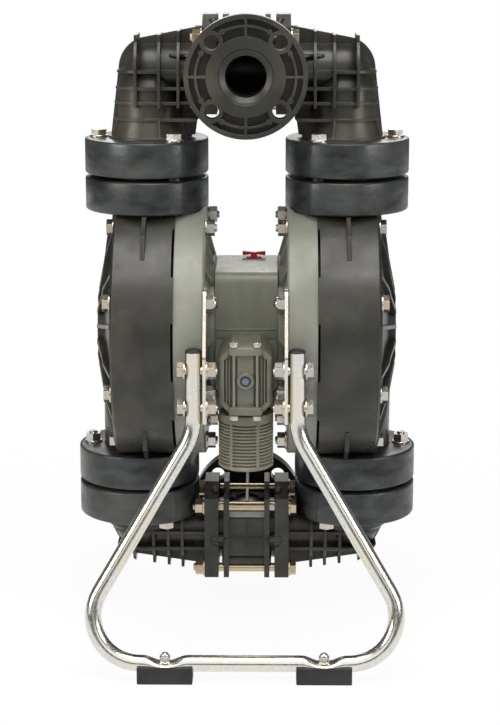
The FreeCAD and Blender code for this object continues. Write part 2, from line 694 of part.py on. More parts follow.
def port_flange():
    """Pipe flange on the rear with a webbed face, ribs and four bosses."""
    back = V(0, PORT_FACE_Y - PORT_FLANGE_T, 0)
    web = rod(PORT_FLANGE_R, back, Y_AXIS, PORT_WEB_T)
    rims = []
    for outer, inner in ((PORT_FLANGE_R, PORT_FLANGE_R - PORT_RIM_T),
                         (PORT_RIB_R + PORT_RIB_T / 2, PORT_RIB_R - PORT_RIB_T / 2)):
        rims.append(turned([(0, inner), (0, outer), (PORT_FLANGE_T, outer), (PORT_FLANGE_T, inner)],
                           back, Y_AXIS))
    hub = rod(GASKET_FACE_R, back, Y_AXIS, PORT_FLANGE_T)
    spokes = []
    for step in range(4):
        spoke = box(-PORT_RIB_T / 2, PORT_RIB_T / 2, 0, PORT_FLANGE_T, GASKET_FACE_R - 2, PORT_FLANGE_R - 2)
        bumps = [rod(PORT_BUMP_R, V(0, 0, PORT_RIB_R), Y_AXIS, PORT_FLANGE_T) for _ in range(2)]
        for bump, turn in zip(bumps, (-PORT_BUMP_TURN, PORT_BUMP_TURN)):
            bump.rotate(V(0, 0, 0), Y_AXIS, turn)
        for item in [spoke] + bumps:
            item.rotate(V(0, 0, 0), Y_AXIS, 90 * step)
            item.translate(back)
            spokes.append(item)
    bosses = [rod(PORT_BOSS_R, back + spot, Y_AXIS, PORT_FLANGE_T) for spot in port_bolt_spots()]
    return [web, hub] + rims + spokes + bosses


def port_bolt_spots():
    """Bolt places of a port flange about its centre."""
    turns = [math.radians(45 + 90 * step) for step in range(4)]
    return [V(PORT_PCD / 2 * math.cos(turn), 0, PORT_PCD / 2 * math.sin(turn)) for turn in turns]


def port_cuts():
    """Bore, bevelled mouth and bolt holes of a port flange."""
    face = V(0, PORT_FACE_Y, 0)
    mouth = turned([(0.5, 0), (0.5, PORT_MOUTH_R + 0.4), (-PORT_MOUTH_DEPTH, PORT_BORE_R),
                    (-PORT_MOUTH_DEPTH, 0)], face, Y_AXIS)
    cuts = [rod(PORT_BORE_R, V(0, 0, 0), Y_AXIS, PORT_FACE_Y + 1), mouth]
    for spot in port_bolt_spots():
        cuts.append(rod(PORT_HOLE_R, face + spot + Y_AXIS, Y_AXIS * -1, PORT_FLANGE_T + 2))
    return cuts


def tee(height):
    """Manifold tee, made about the origin and lifted: a port flange to the rear and two joint flanges."""
    solids = port_flange()
    barrel_end = PORT_FACE_Y - PORT_FLANGE_T
    solids.append(rod(BARREL_R, V(0, 0, 0), Y_AXIS, barrel_end + 1))
    solids.append(rod(BARREL_R, V(-TEE_FLANGE_OUT, 0, 0), X_AXIS, 2 * TEE_FLANGE_OUT))
    front = box(-TEE_FLANGE_OUT + 1, TEE_FLANGE_OUT - 1, -TEE_FRONT, 0, -TEE_FRONT_HALF, TEE_FRONT_HALF)
    solids.append(rounded(front, TEE_FRONT_EDGE, X_AXIS))
    for side in (-1, 1):
        x0 = min(side * TEE_FLANGE_IN, side * TEE_FLANGE_OUT)
        solids.append(flange_block(0, x0, x0 + TEE_FLANGE_OUT - TEE_FLANGE_IN))
        solids.append(rod(TEE_HUB_R, V(side * TEE_FLANGE_IN, 0, 0), V(side, 0, 0),
                          ELBOW_FLANGE_IN - TEE_FLANGE_IN))
    for turn in (0, 90, 180, 270):
        gusset = slab([V(0, 0, BARREL_R - 3), V(0, 0, BARREL_R + 1), V(0, barrel_end + 1, GASKET_FACE_R + 14),
                       V(0, barrel_end + 1, BARREL_R - 3)], X_AXIS, FIN_T)
        gusset.translate(V(-FIN_T / 2, 0, 0))
        gusset.rotate(V(0, 0, 0), Y_AXIS, turn)
        solids.append(gusset)
    body = joined(solids)
    cuts = port_cuts()
    cuts.append(rod(PORT_BORE_R, V(-ELBOW_FLANGE_IN - 1, 0, 0), X_AXIS, 2 * ELBOW_FLANGE_IN + 2))
    cuts += bolt_holes(0, -TEE_FLANGE_OUT, TEE_FLANGE_OUT)
    room = FLANGE_HALF + LOOSE_FIT
    inner = ORING_R - ORING_WIRE_R
    outer = ORING_R + ORING_WIRE_R
    for side in (-1, 1):
        groove = turned([(0.5, inner), (0.5, outer), (-2 * ORING_WIRE_R, outer), (-2 * ORING_WIRE_R, inner)],
                        V(side * ELBOW_FLANGE_IN, 0, 0), V(side, 0, 0))
        cuts.append(groove)
        cuts.append(box(side * ELBOW_FLANGE_IN, side * WIDE, -room, room,
                        -FLANGE_DROP - LOOSE_FIT, FLANGE_TOP + LOOSE_FIT))
    body = body.cut(cuts)
    body.translate(V(0, 0, height))
    return body


def discharge_elbow():
    """Right upper elbow: ball cage below, pipe bend above, with a lattice of cast fins."""
    joint_z = CHAMBER_Z + JOINT_H
    neck_top = joint_z + RING_GAP / 2 + ELBOW_RING_T + 2
    flange_x = ELBOW_FLANGE_OUT
    lower = turned([(0, 0), (0, LIP_R), (LIP_T, LIP_R), (LIP_T, NECK_R), (neck_top - joint_z, NECK_R),
                    (neck_top - joint_z + 26, PIPE_R + 11), (TOP_PORT_Z - joint_z - 20, PIPE_R + 9),
                    (TOP_PORT_Z - joint_z, PIPE_R), (TOP_PORT_Z - joint_z, 0)],
                   V(TOP_PORT_X, 0, joint_z), Z_AXIS)
    bend = Part.makeSphere(PIPE_R, V(TOP_PORT_X, 0, TOP_PORT_Z))
    run = rod(PIPE_R, V(flange_x - 2, 0, TOP_PORT_Z), X_AXIS, TOP_PORT_X - flange_x + 2)
    solids = [lower, bend, run, flange_block(TOP_PORT_Z, ELBOW_FLANGE_IN, ELBOW_FLANGE_OUT),
              flange_lug(TOP_PORT_Z, 1)]
    root_x = flange_x - 2
    sole_z = neck_top + CROWN_SOLE
    spots = [V(TOP_PORT_X + x, 0, TOP_PORT_Z + z)
             for x, z in (CROWN_HEEL, CROWN_SHOULDER, CROWN_TURN, CROWN_BACK)]
    heel, shoulder, turn, back = spots
    crown = fin_outline([V(heel.x + 3, 0, sole_z), heel, V(root_x, 0, TOP_PORT_Z - FLANGE_DROP + 2),
                         V(root_x, 0, TOP_PORT_Z + CROWN_RISE), shoulder], turn,
                        [back, V(TOP_PORT_X + CROWN_FOOT, 0, sole_z)])
    solids.append(thick_plate(crown, FIN_T * 1.5))
    envelope = thick_plate(crown, 2 * FIN_R)
    for offset in CROWN_FINS:
        low = V(TOP_PORT_X + offset - FIN_T / 2, 0, TOP_PORT_Z)
        fin = rod(FIN_R, low, X_AXIS, FIN_T)
        foot = box(low.x, low.x + FIN_T, -FIN_R, FIN_R, TOP_PORT_Z - FIN_R, TOP_PORT_Z)
        head = box(low.x, low.x + FIN_T, -PIPE_R + 3, PIPE_R - 3, TOP_PORT_Z, TOP_PORT_Z + CROWN_RISE)
        solids.append(joined([fin, foot, head]).common(envelope))
    horn_x = TOP_PORT_X + CROWN_FINS[0] - FIN_T / 2
    solids.append(box(horn_x, horn_x + FIN_T, -PIPE_R + 3, PIPE_R - 3, TOP_PORT_Z, TOP_PORT_Z + CROWN_HORN))
    wing_z = TOP_PORT_Z + WING_Z
    wing_x = TOP_PORT_X + WING_X
    solids.append(slab([V(root_x, -FIN_R, wing_z), V(wing_x, -PIPE_R + 4, wing_z),
                        V(wing_x, PIPE_R - 4, wing_z), V(root_x, FIN_R, wing_z)], Z_AXIS, WING_T))
    for offset in CROWN_SHELVES:
        z = TOP_PORT_Z + offset - FIN_T / 2
        shelf = rod(FIN_R, V(TOP_PORT_X, 0, z), Z_AXIS, FIN_T)
        bridge = box(root_x, TOP_PORT_X, -FIN_R + 4, FIN_R - 4, z, z + FIN_T)
        solids.append(joined([shelf, bridge]).common(envelope))
    elbow = joined(solids)
    seat_top = joint_z + SEAT_T / 2
    cuts = [rod(SEAT_R + RUNNING_FIT, V(TOP_PORT_X, 0, joint_z - 1), Z_AXIS, SEAT_T / 2 + 1),
            cage(TOP_PORT_X, seat_top),
            rod(PORT_BORE_R, V(TOP_PORT_X, 0, seat_top), Z_AXIS, TOP_PORT_Z - seat_top),
            Part.makeSphere(PORT_BORE_R, V(TOP_PORT_X, 0, TOP_PORT_Z)),
            rod(PORT_BORE_R, V(ELBOW_FLANGE_IN - 1, 0, TOP_PORT_Z), X_AXIS, TOP_PORT_X - ELBOW_FLANGE_IN + 1)]
    cuts += bolt_holes(TOP_PORT_Z, ELBOW_FLANGE_IN, ELBOW_FLANGE_OUT)
    cuts += nut_room(TOP_PORT_Z)
    return elbow.cut(cuts)


def fin_outline(before, turn, after):
    """Closed outline of an elbow's middle fin, with an arc between its two runs of straight edges."""
    line = before + after
    edges = [Part.LineSegment(a, b).toShape() for a, b in zip(before, before[1:])]
    edges.append(Part.Arc(before[-1], turn, after[0]).toShape())
    edges += [Part.LineSegment(a, b).toShape() for a, b in zip(after, after[1:])]
    edges.append(Part.LineSegment(line[-1], line[0]).toShape())
    return Part.Face(Part.Wire(edges))


def thick_plate(face, thickness):
    """Plate of this thickness about the middle plane."""
    plate = face.extrude(V(0, thickness, 0))
    plate.translate(V(0, -thickness / 2, 0))
    return plate


def nut_room(port_z):
    """Clear space for heads and nuts outside the elbow's joint flange."""
    return [rod(WASHER_R + 1, V(ELBOW_FLANGE_OUT, y, z), X_AXIS, 30) for y, z in bolt_corners(port_z)]


def suction_elbow():
    """Right lower elbow: a short turn from the level inlet run up to the cap's lower port."""
    joint_z = CHAMBER_Z - JOINT_H
    neck_low = joint_z - RING_GAP / 2 - ELBOW_RING_T - 1
    flange_x = ELBOW_FLANGE_OUT
    collar = neck_low - joint_z
    sump = LOW_PORT_Z - joint_z - 14
    upper = turned([(0, 0), (0, LIP_R), (-LIP_T, LIP_R), (-LIP_T, NECK_R), (collar, NECK_R),
                    (collar - KEEL_COLLAR, NECK_R - 2), (collar - KEEL_COLLAR - 7, PIPE_R + 9),
                    (sump, PIPE_R), (sump, 0)], V(LOW_PORT_X, 0, joint_z), Z_AXIS)
    bend = Part.makeSphere(PIPE_R, V(LOW_PORT_X, 0, LOW_PORT_Z))
    run = rod(PIPE_R, V(flange_x - 2, 0, LOW_PORT_Z), X_AXIS, LOW_PORT_X - flange_x + 2)
    root_x = flange_x - 2
    spots = [V(LOW_PORT_X + x, 0, LOW_PORT_Z + z) for x, z in (KEEL_SHOULDER, KEEL_TURN, KEEL_BACK)]
    shoulder, turn, back = spots
    keel = fin_outline([V(LOW_PORT_X - KEEL_HEEL, 0, neck_low), V(root_x, 0, LOW_PORT_Z + KEEL_RISE),
                        V(root_x, 0, LOW_PORT_Z - KEEL_DROP), shoulder], turn,
                       [back, V(back.x, 0, neck_low)])
    gusset = thick_plate(keel, FIN_T * 1.5)
    envelope = thick_plate(keel, 2 * FIN_R)
    envelope.translate(V(0, 0, -KEEL_LIP))
    fins = []
    for offset in KEEL_FINS:
        x = LOW_PORT_X + offset - FIN_T / 2
        fin = rod(FIN_R - 4, V(x, 0, LOW_PORT_Z), X_AXIS, FIN_T)
        foot = box(x, x + FIN_T, -FIN_R / 2, FIN_R / 2, LOW_PORT_Z - WIDE, LOW_PORT_Z)
        fins.append(joined([fin, foot]).common(envelope))
    for offset in KEEL_SHELVES:
        z = LOW_PORT_Z + offset - FIN_T / 2
        shelf = rod(FIN_R - 4, V(LOW_PORT_X, 0, z), Z_AXIS, FIN_T)
        bridge = box(root_x, LOW_PORT_X, -FIN_R + 6, FIN_R - 6, z, z + FIN_T)
        fins.append(joined([shelf, bridge]).common(envelope))
    ring_low = joint_z - RING_GAP / 2 - ELBOW_RING_T
    ring_room = ring_prism(LOW_PORT_X, ring_low - SEAT_GAP, joint_z, 2.0)
    low_run = joined([bend, run, gusset] + fins).cut(ring_room)
    flange = flange_block(LOW_PORT_Z, ELBOW_FLANGE_IN, ELBOW_FLANGE_OUT)
    elbow = joined([low_run, upper, flange, flange_lug(LOW_PORT_Z, -1)])
    duct_z = ring_low - DUCT_WALL - DUCT_R
    cuts = [rod(SEAT_R + RUNNING_FIT, V(LOW_PORT_X, 0, joint_z - SEAT_T / 2), Z_AXIS, SEAT_T),
            rod(DUCT_R, V(LOW_PORT_X, 0, duct_z), Z_AXIS, joint_z - duct_z),
            Part.makeSphere(DUCT_R, V(LOW_PORT_X, 0, duct_z)),
            rod(DUCT_R, V(flange_x, 0, duct_z), X_AXIS, LOW_PORT_X - flange_x),
            rod(PORT_BORE_R, V(ELBOW_FLANGE_IN - 1, 0, LOW_PORT_Z), X_AXIS, flange_x - ELBOW_FLANGE_IN + 3)]
    cuts += bolt_holes(LOW_PORT_Z, ELBOW_FLANGE_IN, ELBOW_FLANGE_OUT)
    cuts += nut_room(LOW_PORT_Z)
    return elbow.cut(cuts)


def manifold_orings():
    """Round seals in the tee's grooves, two on each manifold."""
    rings = []
    for port_z in (TOP_PORT_Z, LOW_PORT_Z):
        for side in (-1, 1):
            x = side * (ELBOW_FLANGE_IN - ORING_WIRE_R)
            rings.append(Part.makeTorus(ORING_R, ORING_WIRE_R - 0.02, V(x, 0, port_z), X_AXIS))
    return group(rings)


def manifold_bolts():
    """Long through bolts that clamp both elbows to each tee."""
    bolts = []
    for port_z in (TOP_PORT_Z, LOW_PORT_Z):
        for y, z in bolt_corners(port_z):
            length = 2 * ELBOW_FLANGE_OUT + WASHER_T + M12_NUT + M12_END
            bolts.append(bolt(V(ELBOW_FLANGE_OUT, y, z), V(-1, 0, 0), length, M12_R, M12_AF, M12_HEAD))
    return group(bolts)


def manifold_nuts():
    """Nuts of the through bolts."""
    nuts = []
    for port_z in (TOP_PORT_Z, LOW_PORT_Z):
        for y, z in bolt_corners(port_z):
            nuts.append(nut(V(-ELBOW_FLANGE_OUT, y, z), V(-1, 0, 0), M12_R, M12_AF, M12_NUT))
    return group(nuts)


def ring_sets():
    """Ring bolt lines: place, joint height, direction of the shank and whether the nut is sunk."""
    sets = []
    for port_x, side in ((TOP_PORT_X, 1), (LOW_PORT_X, -1)):
        for place, (x, y) in enumerate(port_points(port_x)):
            for mirror in (-1, 1):
                sets.append((mirror * x, y, CHAMBER_Z + side * JOINT_H, side, nut_sunk(place, side)))
    return sets


def ring_bolts():
    """Bolts through each pair of clamp rings, with heads on the manifold side."""
    bolts = []
    for x, y, joint_z, side, sunk in ring_sets():
        seat = V(x, y, joint_z + side * (RING_GAP / 2 + ELBOW_RING_T))
        length = ELBOW_RING_T + RING_GAP + CAP_RING_T + M12_END
        if not sunk:
            length += WASHER_T + M12_NUT
        bolts.append(bolt(seat, V(0, 0, -side), length, M12_R, M12_AF, M12_HEAD))
    return group(bolts)


def ring_nuts():
    """Nuts of the ring bolts: sunk in the cap rings, but for the outer ones of the lower joints."""
    nuts = []
    for x, y, joint_z, side, sunk in ring_sets():
        face = joint_z - side * (RING_GAP / 2 + CAP_RING_T)
        if sunk:
            face += side * (M12_NUT + WASHER_T)
        nuts.append(nut(V(x, y, face), V(0, 0, -side), M12_R, M12_AF, M12_NUT))
    return group(nuts)


def plate_places(wanted):
    """Rim bolt places that hold a stand plate, or those that hold none."""
    return [(y, z) for y, z in rim_places() if (abs(y) > PLATE_IN_Y) == wanted]


def rim_bolts():
    """Bolts round both chambers, with heads on the fluid caps."""
    bolts = []
    for plated in (True, False):
        grip = FLUID_RIM_X - AIR_FACE_X
        end = PLATE_T + M12_CAP_NUT * 0.55 - 1 if plated else WASHER_T + M12_NUT + M12_END
        for y, z in plate_places(plated):
            for side in (-1, 1):
                seat = V(side * FLUID_RIM_X, y, z)
                bolts.append(bolt(seat, V(-side, 0, 0), grip + end, M12_R, M12_AF, M12_HEAD))
    return group(bolts)


def rim_nuts():
    """Plain nuts on the air caps."""
    nuts = []
    for y, z in plate_places(False):
        for side in (-1, 1):
            nuts.append(nut(V(side * AIR_FACE_X, y, z), V(-side, 0, 0), M12_R, M12_AF, M12_NUT))
    return group(nuts)


def plate_cap_nuts():
    """Domed nuts that hold the stand plates on the rim bolts."""
    nuts = []
    for y, z in plate_places(True):
        for side in (-1, 1):
            seat = V(side * (AIR_FACE_X - PLATE_T), y, z)
            nuts.append(cap_nut(seat, V(-side, 0, 0), M12_R, M12_AF, M12_CAP_NUT))
    return group(nuts)


def stand_plates():
    """Four flat brackets that carry the stand's tubes on the chamber rims."""
    plate = slab([V(AIR_FACE_X - PLATE_T, -PLATE_OUT_Y, PLATE_BOTTOM_Z),
                  V(AIR_FACE_X - PLATE_T, -PLATE_IN_Y - 18, PLATE_BOTTOM_Z),
                  V(AIR_FACE_X - PLATE_T, -PLATE_IN_Y, PLATE_BOTTOM_Z + 22),
                  V(AIR_FACE_X - PLATE_T, -PLATE_IN_Y, PLATE_TOP_Z),
                  V(AIR_FACE_X - PLATE_T, -PLATE_IN_Y - 34, PLATE_TOP_Z),
                  V(AIR_FACE_X - PLATE_T, -PLATE_OUT_Y, STAND_TOP_Z - 4)], X_AXIS, PLATE_T)
    plate = rounded(plate, PLATE_ROUND, X_AXIS)
    cuts = [rod(M12_HOLE_R, V(0, y, z), X_AXIS, SEAM_X) for y, z in plate_places(True)]
    cuts.append(rod(AIR_FLAT_R + SEAT_GAP, V(0, 0, CHAMBER_Z), X_AXIS, SEAM_X))
    cuts += [rod(M12_HOLE_R, V(0, -STAND_TOP_Y, z), X_AXIS, SEAM_X) for z in STAND_BOLT_ZS]
    right = plate.cut(cuts)
    pair = [right, flipped(right)]
    return group(pair + [flipped(plate, Y_AXIS) for plate in pair])


def corner_arc(before, corner, after, radius):
    """Arc that rounds one corner of the tube's route, with its two tangent points."""
    back = (before - corner).normalize()
    ahead = (after - corner).normalize()
    half = back.getAngle(ahead) / 2
    reach = radius / math.tan(half)
    start = corner + back * reach
    end = corner + ahead * reach
    middle_way = (back + ahead).normalize()
    centre = corner + middle_way * (radius / math.sin(half))
    middle = centre - middle_way * radius
    return start, middle, end


def stand_route(radius):
    """Solid round bar along one stand loop."""
    top = V(STAND_TOP_X, -STAND_TOP_Y, STAND_TOP_Z)
    knee = V(STAND_TOP_X, -STAND_TOP_Y, STAND_KNEE_Z)
    corner = V(STAND_CORNER_X, -STAND_BASE_Y, STAND_BASE_Z)
    middle = V(0, -STAND_BASE_Y, STAND_BASE_Z)
    a0, a1, a2 = corner_arc(top, knee, corner, STAND_KNEE_R)
    b0, b1, b2 = corner_arc(knee, corner, middle, STAND_CORNER_R)
    edges = [Part.LineSegment(top, a0).toShape(), Part.Arc(a0, a1, a2).toShape(),
             Part.LineSegment(a2, b0).toShape(), Part.Arc(b0, b1, b2).toShape(),
             Part.LineSegment(b2, middle).toShape()]
    profile = Part.Wire([Part.makeCircle(radius, top, Z_AXIS)])
    half = Part.Wire(edges).makePipeShell([profile], True, True)
    return joined([half, flipped(half)])


def stand_loop():
    """Front stand loop: one bent tube from plate to plate, pressed flat over the feet."""
    loop = stand_route(TUBE_R).cut(stand_route(TUBE_R - TUBE_WALL))
    cuts = []
    for z in STAND_BOLT_ZS:
        cuts.append(rod(M12_HOLE_R, V(-WIDE, -STAND_TOP_Y, z), X_AXIS, 2 * WIDE))
    pressed = []
    holes = []
    for side in (-1, 1):
        low_x = side * FOOT_X - PRESS_HALF
        span = box(low_x, low_x + 2 * PRESS_HALF, -STAND_BASE_Y - FOOT_W, -STAND_BASE_Y + FOOT_W,
                   STAND_BASE_Z + PRESS_RISE, STAND_BASE_Z + FOOT_H)
        cuts.append(span)
        pressed.append(rod(TUBE_R, V(low_x, -STAND_BASE_Y, STAND_BASE_Z), X_AXIS, 2 * PRESS_HALF).cut(span))
        holes.append(rod(M8_HOLE_R, V(side * FOOT_X, -STAND_BASE_Y, 0), Z_AXIS, STAND_BASE_Z + 2 * TUBE_R))
    return joined([loop.cut(cuts)] + pressed).cut(holes)


def stand_end_plugs():
    """Domed plastic plugs in the four open tube ends."""
    stem_r = TUBE_R - TUBE_WALL - RUNNING_FIT
    plug = turned([(-PLUG_DEPTH, 0), (-PLUG_DEPTH, stem_r), (0, stem_r), (0, TUBE_R), (PLUG_CAP_RIM, TUBE_R),
                   (PLUG_CAP_H, TUBE_R * 0.55), (PLUG_CAP_H, 0)],
                  V(STAND_TOP_X, -STAND_TOP_Y, STAND_TOP_Z), Z_AXIS)
    pair = [plug, flipped(plug)]
    return group(pair + [flipped(item, Y_AXIS) for item in pair])


def stand_bolts():
    """Bolts through the tubes and the plates, with heads outside."""
    bolts = []
    grip = STAND_TOP_X + TUBE_R - (AIR_FACE_X - PLATE_T)
    length = grip + WASHER_T + M12_NUT
    for z in STAND_BOLT_ZS:
        for side in (-1, 1):
            for face in (-1, 1):
                seat = V(side * (STAND_TOP_X + TUBE_R), face * STAND_TOP_Y, z)
                bolts.append(bolt(seat, V(-side, 0, 0), length, M12_R, M12_AF, M12_HEAD))
    return group(bolts)


def stand_nuts():
    """Nuts of the stand bolts, inside the plates."""
    nuts = []
    for z in STAND_BOLT_ZS:
        for side in (-1, 1):
            for face in (-1, 1):
                seat = V(side * (AIR_FACE_X - PLATE_T), face * STAND_TOP_Y, z)
                nuts.append(nut(seat, V(-side, 0, 0), M12_R, M12_AF, M12_NUT))
    return group(nuts)


def rubber_feet():
    """Four rubber blocks that cup the base tubes."""
    block = box(FOOT_X - FOOT_L / 2, FOOT_X + FOOT_L / 2, -STAND_BASE_Y - FOOT_W / 2,
                -STAND_BASE_Y + FOOT_W / 2, 0, FOOT_H)
    block = rounded(block, FOOT_ROUND, Z_AXIS)
    head_room = STAND_BASE_Z - TUBE_R - FOOT_SEAT
    cuts = [rod(TUBE_R, V(0, -STAND_BASE_Y, STAND_BASE_Z), X_AXIS, WIDE),
            rod(M8_HOLE_R, V(FOOT_X, -STAND_BASE_Y, -1), Z_AXIS, FOOT_H + 2),
            rod(2 * M8_R + 1, V(FOOT_X, -STAND_BASE_Y, -1), Z_AXIS, head_room + 1)]
    foot = block.cut(cuts)
    pair = [foot, flipped(foot)]
    return group(pair + [flipped(item, Y_AXIS) for item in pair])


def foot_bolts():
    """Bolts up through the feet and the base tubes."""
    seat_z = STAND_BASE_Z - TUBE_R - FOOT_SEAT
    length = FOOT_SEAT + TUBE_R + PRESS_RISE + M8_CAP_NUT * 0.5
    return group([bolt(V(x, y, seat_z), Z_AXIS, length, M8_R, M8_AF, M8_HEAD)
                  for x in (-FOOT_X, FOOT_X) for y in (-STAND_BASE_Y, STAND_BASE_Y)])


def foot_cap_nuts():
    """Domed nuts in the pressed spans of the base tubes."""
    return group([cap_nut(V(x, y, STAND_BASE_Z + PRESS_RISE), Z_AXIS, M8_R, M8_AF, M8_CAP_NUT)
                  for x in (-FOOT_X, FOOT_X) for y in (-STAND_BASE_Y, STAND_BASE_Y)])


def octagon(back_y, front_y, shrink=0.0):
    """Upright block with bevelled corners, the outline of the air valve."""
    half = VALVE_HALF_X - shrink
    low = VALVE_BOTTOM_Z + shrink
    high = VALVE_TOP_Z - shrink
    cut = VALVE_CUT - shrink * 0.4
    points = [V(-half + cut, back_y, low), V(half - cut, back_y, low), V(half, back_y, low + cut),
              V(half, back_y, high - cut), V(half - cut, back_y, high), V(-half + cut, back_y, high),
              V(-half, back_y, high - cut), V(-half, back_y, low + cut)]
    return slab(points, Y_AXIS, front_y - back_y)


def air_valve_body():
    """Valve block on the centre body, with the spool's bore and the exhaust outlet below."""
    block = octagon(-BODY_Y, VALVE_BODY_Y)
    spool_room = SPOOL_HALF + SPOOL_STROKE + 1
    middle = (VALVE_BOTTOM_Z + VALVE_TOP_Z) / 2
    cuts = [rod(SPOOL_R + RUNNING_FIT, V(0, SPOOL_Y, middle - spool_room), Z_AXIS, 2 * spool_room)]
    return block.cut(cuts)


def air_valve_cover():
    """Ribbed octagonal cover with two bolt grooves, a sunk panel and the button's boss."""
    cover = octagon(VALVE_BODY_Y, VALVE_FRONT_Y)
    depth = VALVE_FRONT_Y - 1
    sink = VALVE_FRONT_Y + VALVE_POCKET
    cuts = []
    for side in (-1, 1):
        for x0, x1 in ((VALVE_BOLT_X + VALVE_BOLT_R + 2.5, 25.0), (27.0, VALVE_HALF_X - VALVE_RIM)):
            low = VALVE_BOTTOM_Z + VALVE_CUT + 2
            high = VALVE_TOP_Z - VALVE_CUT - 2
            cuts.append(box(side * x0, side * x1, depth, sink, low, high))
        groove_y = VALVE_FRONT_Y + VALVE_BOLT_SINK
        groove_r = VALVE_BOLT_R + LOOSE_FIT
        bolt_x = side * VALVE_BOLT_X
        low = VALVE_BOTTOM_Z - 1
        cuts.append(rod(groove_r, V(bolt_x, groove_y, low), Z_AXIS, WIDE))
        cuts.append(box(bolt_x - groove_r, bolt_x + groove_r, depth, groove_y, low, VALVE_TOP_Z + 1))
    cuts.append(box(-PANEL_HALF, PANEL_HALF, depth, VALVE_FRONT_Y + PANEL_SINK,
                    VALVE_BOTTOM_Z + 8, VALVE_TOP_Z - 8))
    cover = cover.cut(cuts)
    boss = rod(BUTTON_BOSS_R, V(0, VALVE_FRONT_Y + PANEL_SINK + 1, BUTTON_Z), V(0, -1, 0), PANEL_SINK)
    cover = joined([cover, boss])
    bore_l = BUTTON_L + BUTTON_STROKE + 2.5
    return cover.cut(rod(BUTTON_R + RUNNING_FIT, V(0, VALVE_FRONT_Y - 2, BUTTON_Z), Y_AXIS, bore_l))


def reset_button():
    """Push button in the middle of the valve cover."""
    return rod(BUTTON_R, V(0, VALVE_FRONT_Y - 0.5, BUTTON_Z), Y_AXIS, BUTTON_L)


def spool():
    """Valve spool with two grooves between its lands."""
    middle = (VALVE_BOTTOM_Z + VALVE_TOP_Z) / 2
    low = SPOOL_R - SPOOL_GROOVE
    third = SPOOL_HALF / 3
    outline = [(-SPOOL_HALF, 0), (-SPOOL_HALF, SPOOL_R), (-2 * third, SPOOL_R), (-2 * third, low),
               (-third / 2, low), (-third / 2, SPOOL_R), (third / 2, SPOOL_R), (third / 2, low),
               (2 * third, low), (2 * third, SPOOL_R), (SPOOL_HALF, SPOOL_R), (SPOOL_HALF, 0)]
    return turned(outline, V(0, SPOOL_Y, middle), Z_AXIS)


def valve_bolts():
    """Two long bolts that lie in the cover's grooves, top to bottom."""
    bolts = []
    groove_y = VALVE_FRONT_Y + VALVE_BOLT_SINK
    length = VALVE_TOP_Z - VALVE_BOTTOM_Z
    for side in (-1, 1):
        seat = V(side * VALVE_BOLT_X, groove_y, VALVE_TOP_Z)
        shank = rod(VALVE_BOLT_R, seat + V(0, 0, 1), V(0, 0, -1), length + M6_NUT + 1)
        head = hexagon(M6_AF, seat, Z_AXIS, M6_HEAD)
        end = hexagon(M6_AF, seat - V(0, 0, length + M6_NUT), Z_AXIS, M6_NUT)
        bolts.append(joined([shank, head, end]))
    return group(bolts)


def muffler():
    """Exhaust muffler: a slotted cage round a core, with a stub into the valve."""
    high = MUFFLER_TOP_Z - MUFFLER_BOTTOM_Z
    centre = V(0, MUFFLER_Y, MUFFLER_BOTTOM_Z)
    core = rod(MUFFLER_CORE_R, centre, Z_AXIS, high)
    ends = [rod(MUFFLER_R, centre, Z_AXIS, 5.0), rod(MUFFLER_R, centre + V(0, 0, high - 6), Z_AXIS, 6.0)]
    pitch = (high - 11) / (MUFFLER_FINS + 1)
    fins = []
    for step in range(MUFFLER_FINS):
        z = 5 + pitch * (step + 1) - MUFFLER_FIN_T / 2
        fins.append(rod(MUFFLER_R - 0.5, centre + V(0, 0, z), Z_AXIS, MUFFLER_FIN_T))
    ribs = []
    for step in range(MUFFLER_RIBS):
        rib = box(MUFFLER_CORE_R - 2, MUFFLER_R, -MUFFLER_RIB_W / 2, MUFFLER_RIB_W / 2, 1, high - 1)
        rib.rotate(V(0, 0, 0), Z_AXIS, 60 * step + 60)
        rib.translate(centre)
        ribs.append(rib)
    stub = rod(MUFFLER_STUB_R, centre + V(0, 0, high - 1), Z_AXIS, VALVE_BOTTOM_Z - MUFFLER_TOP_Z + 1)
    return joined([core, stub] + ends + fins + ribs)


def air_inlet_plug():
    """Red transport plug in the air inlet, with a bow-tie grip."""
    seat = V(INLET_X, INLET_Y, BODY_TOP_Z + SEAT_GAP)
    stub = rod(INLET_BORE_R - RUNNING_FIT, seat + V(0, 0, 1), V(0, 0, -1), INLET_DEPTH - 3)
    disc = rod(PLUG_FLANGE_R, seat, Z_AXIS, PLUG_FLANGE_T)
    half = PLUG_FLANGE_R - 1
    waist = PLUG_GRIP_T / 2
    grip = slab([V(-half, -waist - 3, 0), V(0, -waist, 0), V(half, -waist - 3, 0), V(half, waist + 3, 0),
                 V(0, waist, 0), V(-half, waist + 3, 0)], Z_AXIS, PLUG_GRIP_H + 1)
    grip.translate(seat + V(0, 0, PLUG_FLANGE_T - 1))
    return joined([stub, disc, grip])


def ring_pair(port_x, side, away):
    """Left and right clamp rings on one side of a joint plane."""
    joint_z = CHAMBER_Z + side * JOINT_H
    thickness = ELBOW_RING_T if away == side else CAP_RING_T
    ring = clamp_ring(port_x, joint_z, away, thickness, away != side)
    return group([ring, flipped(ring)])


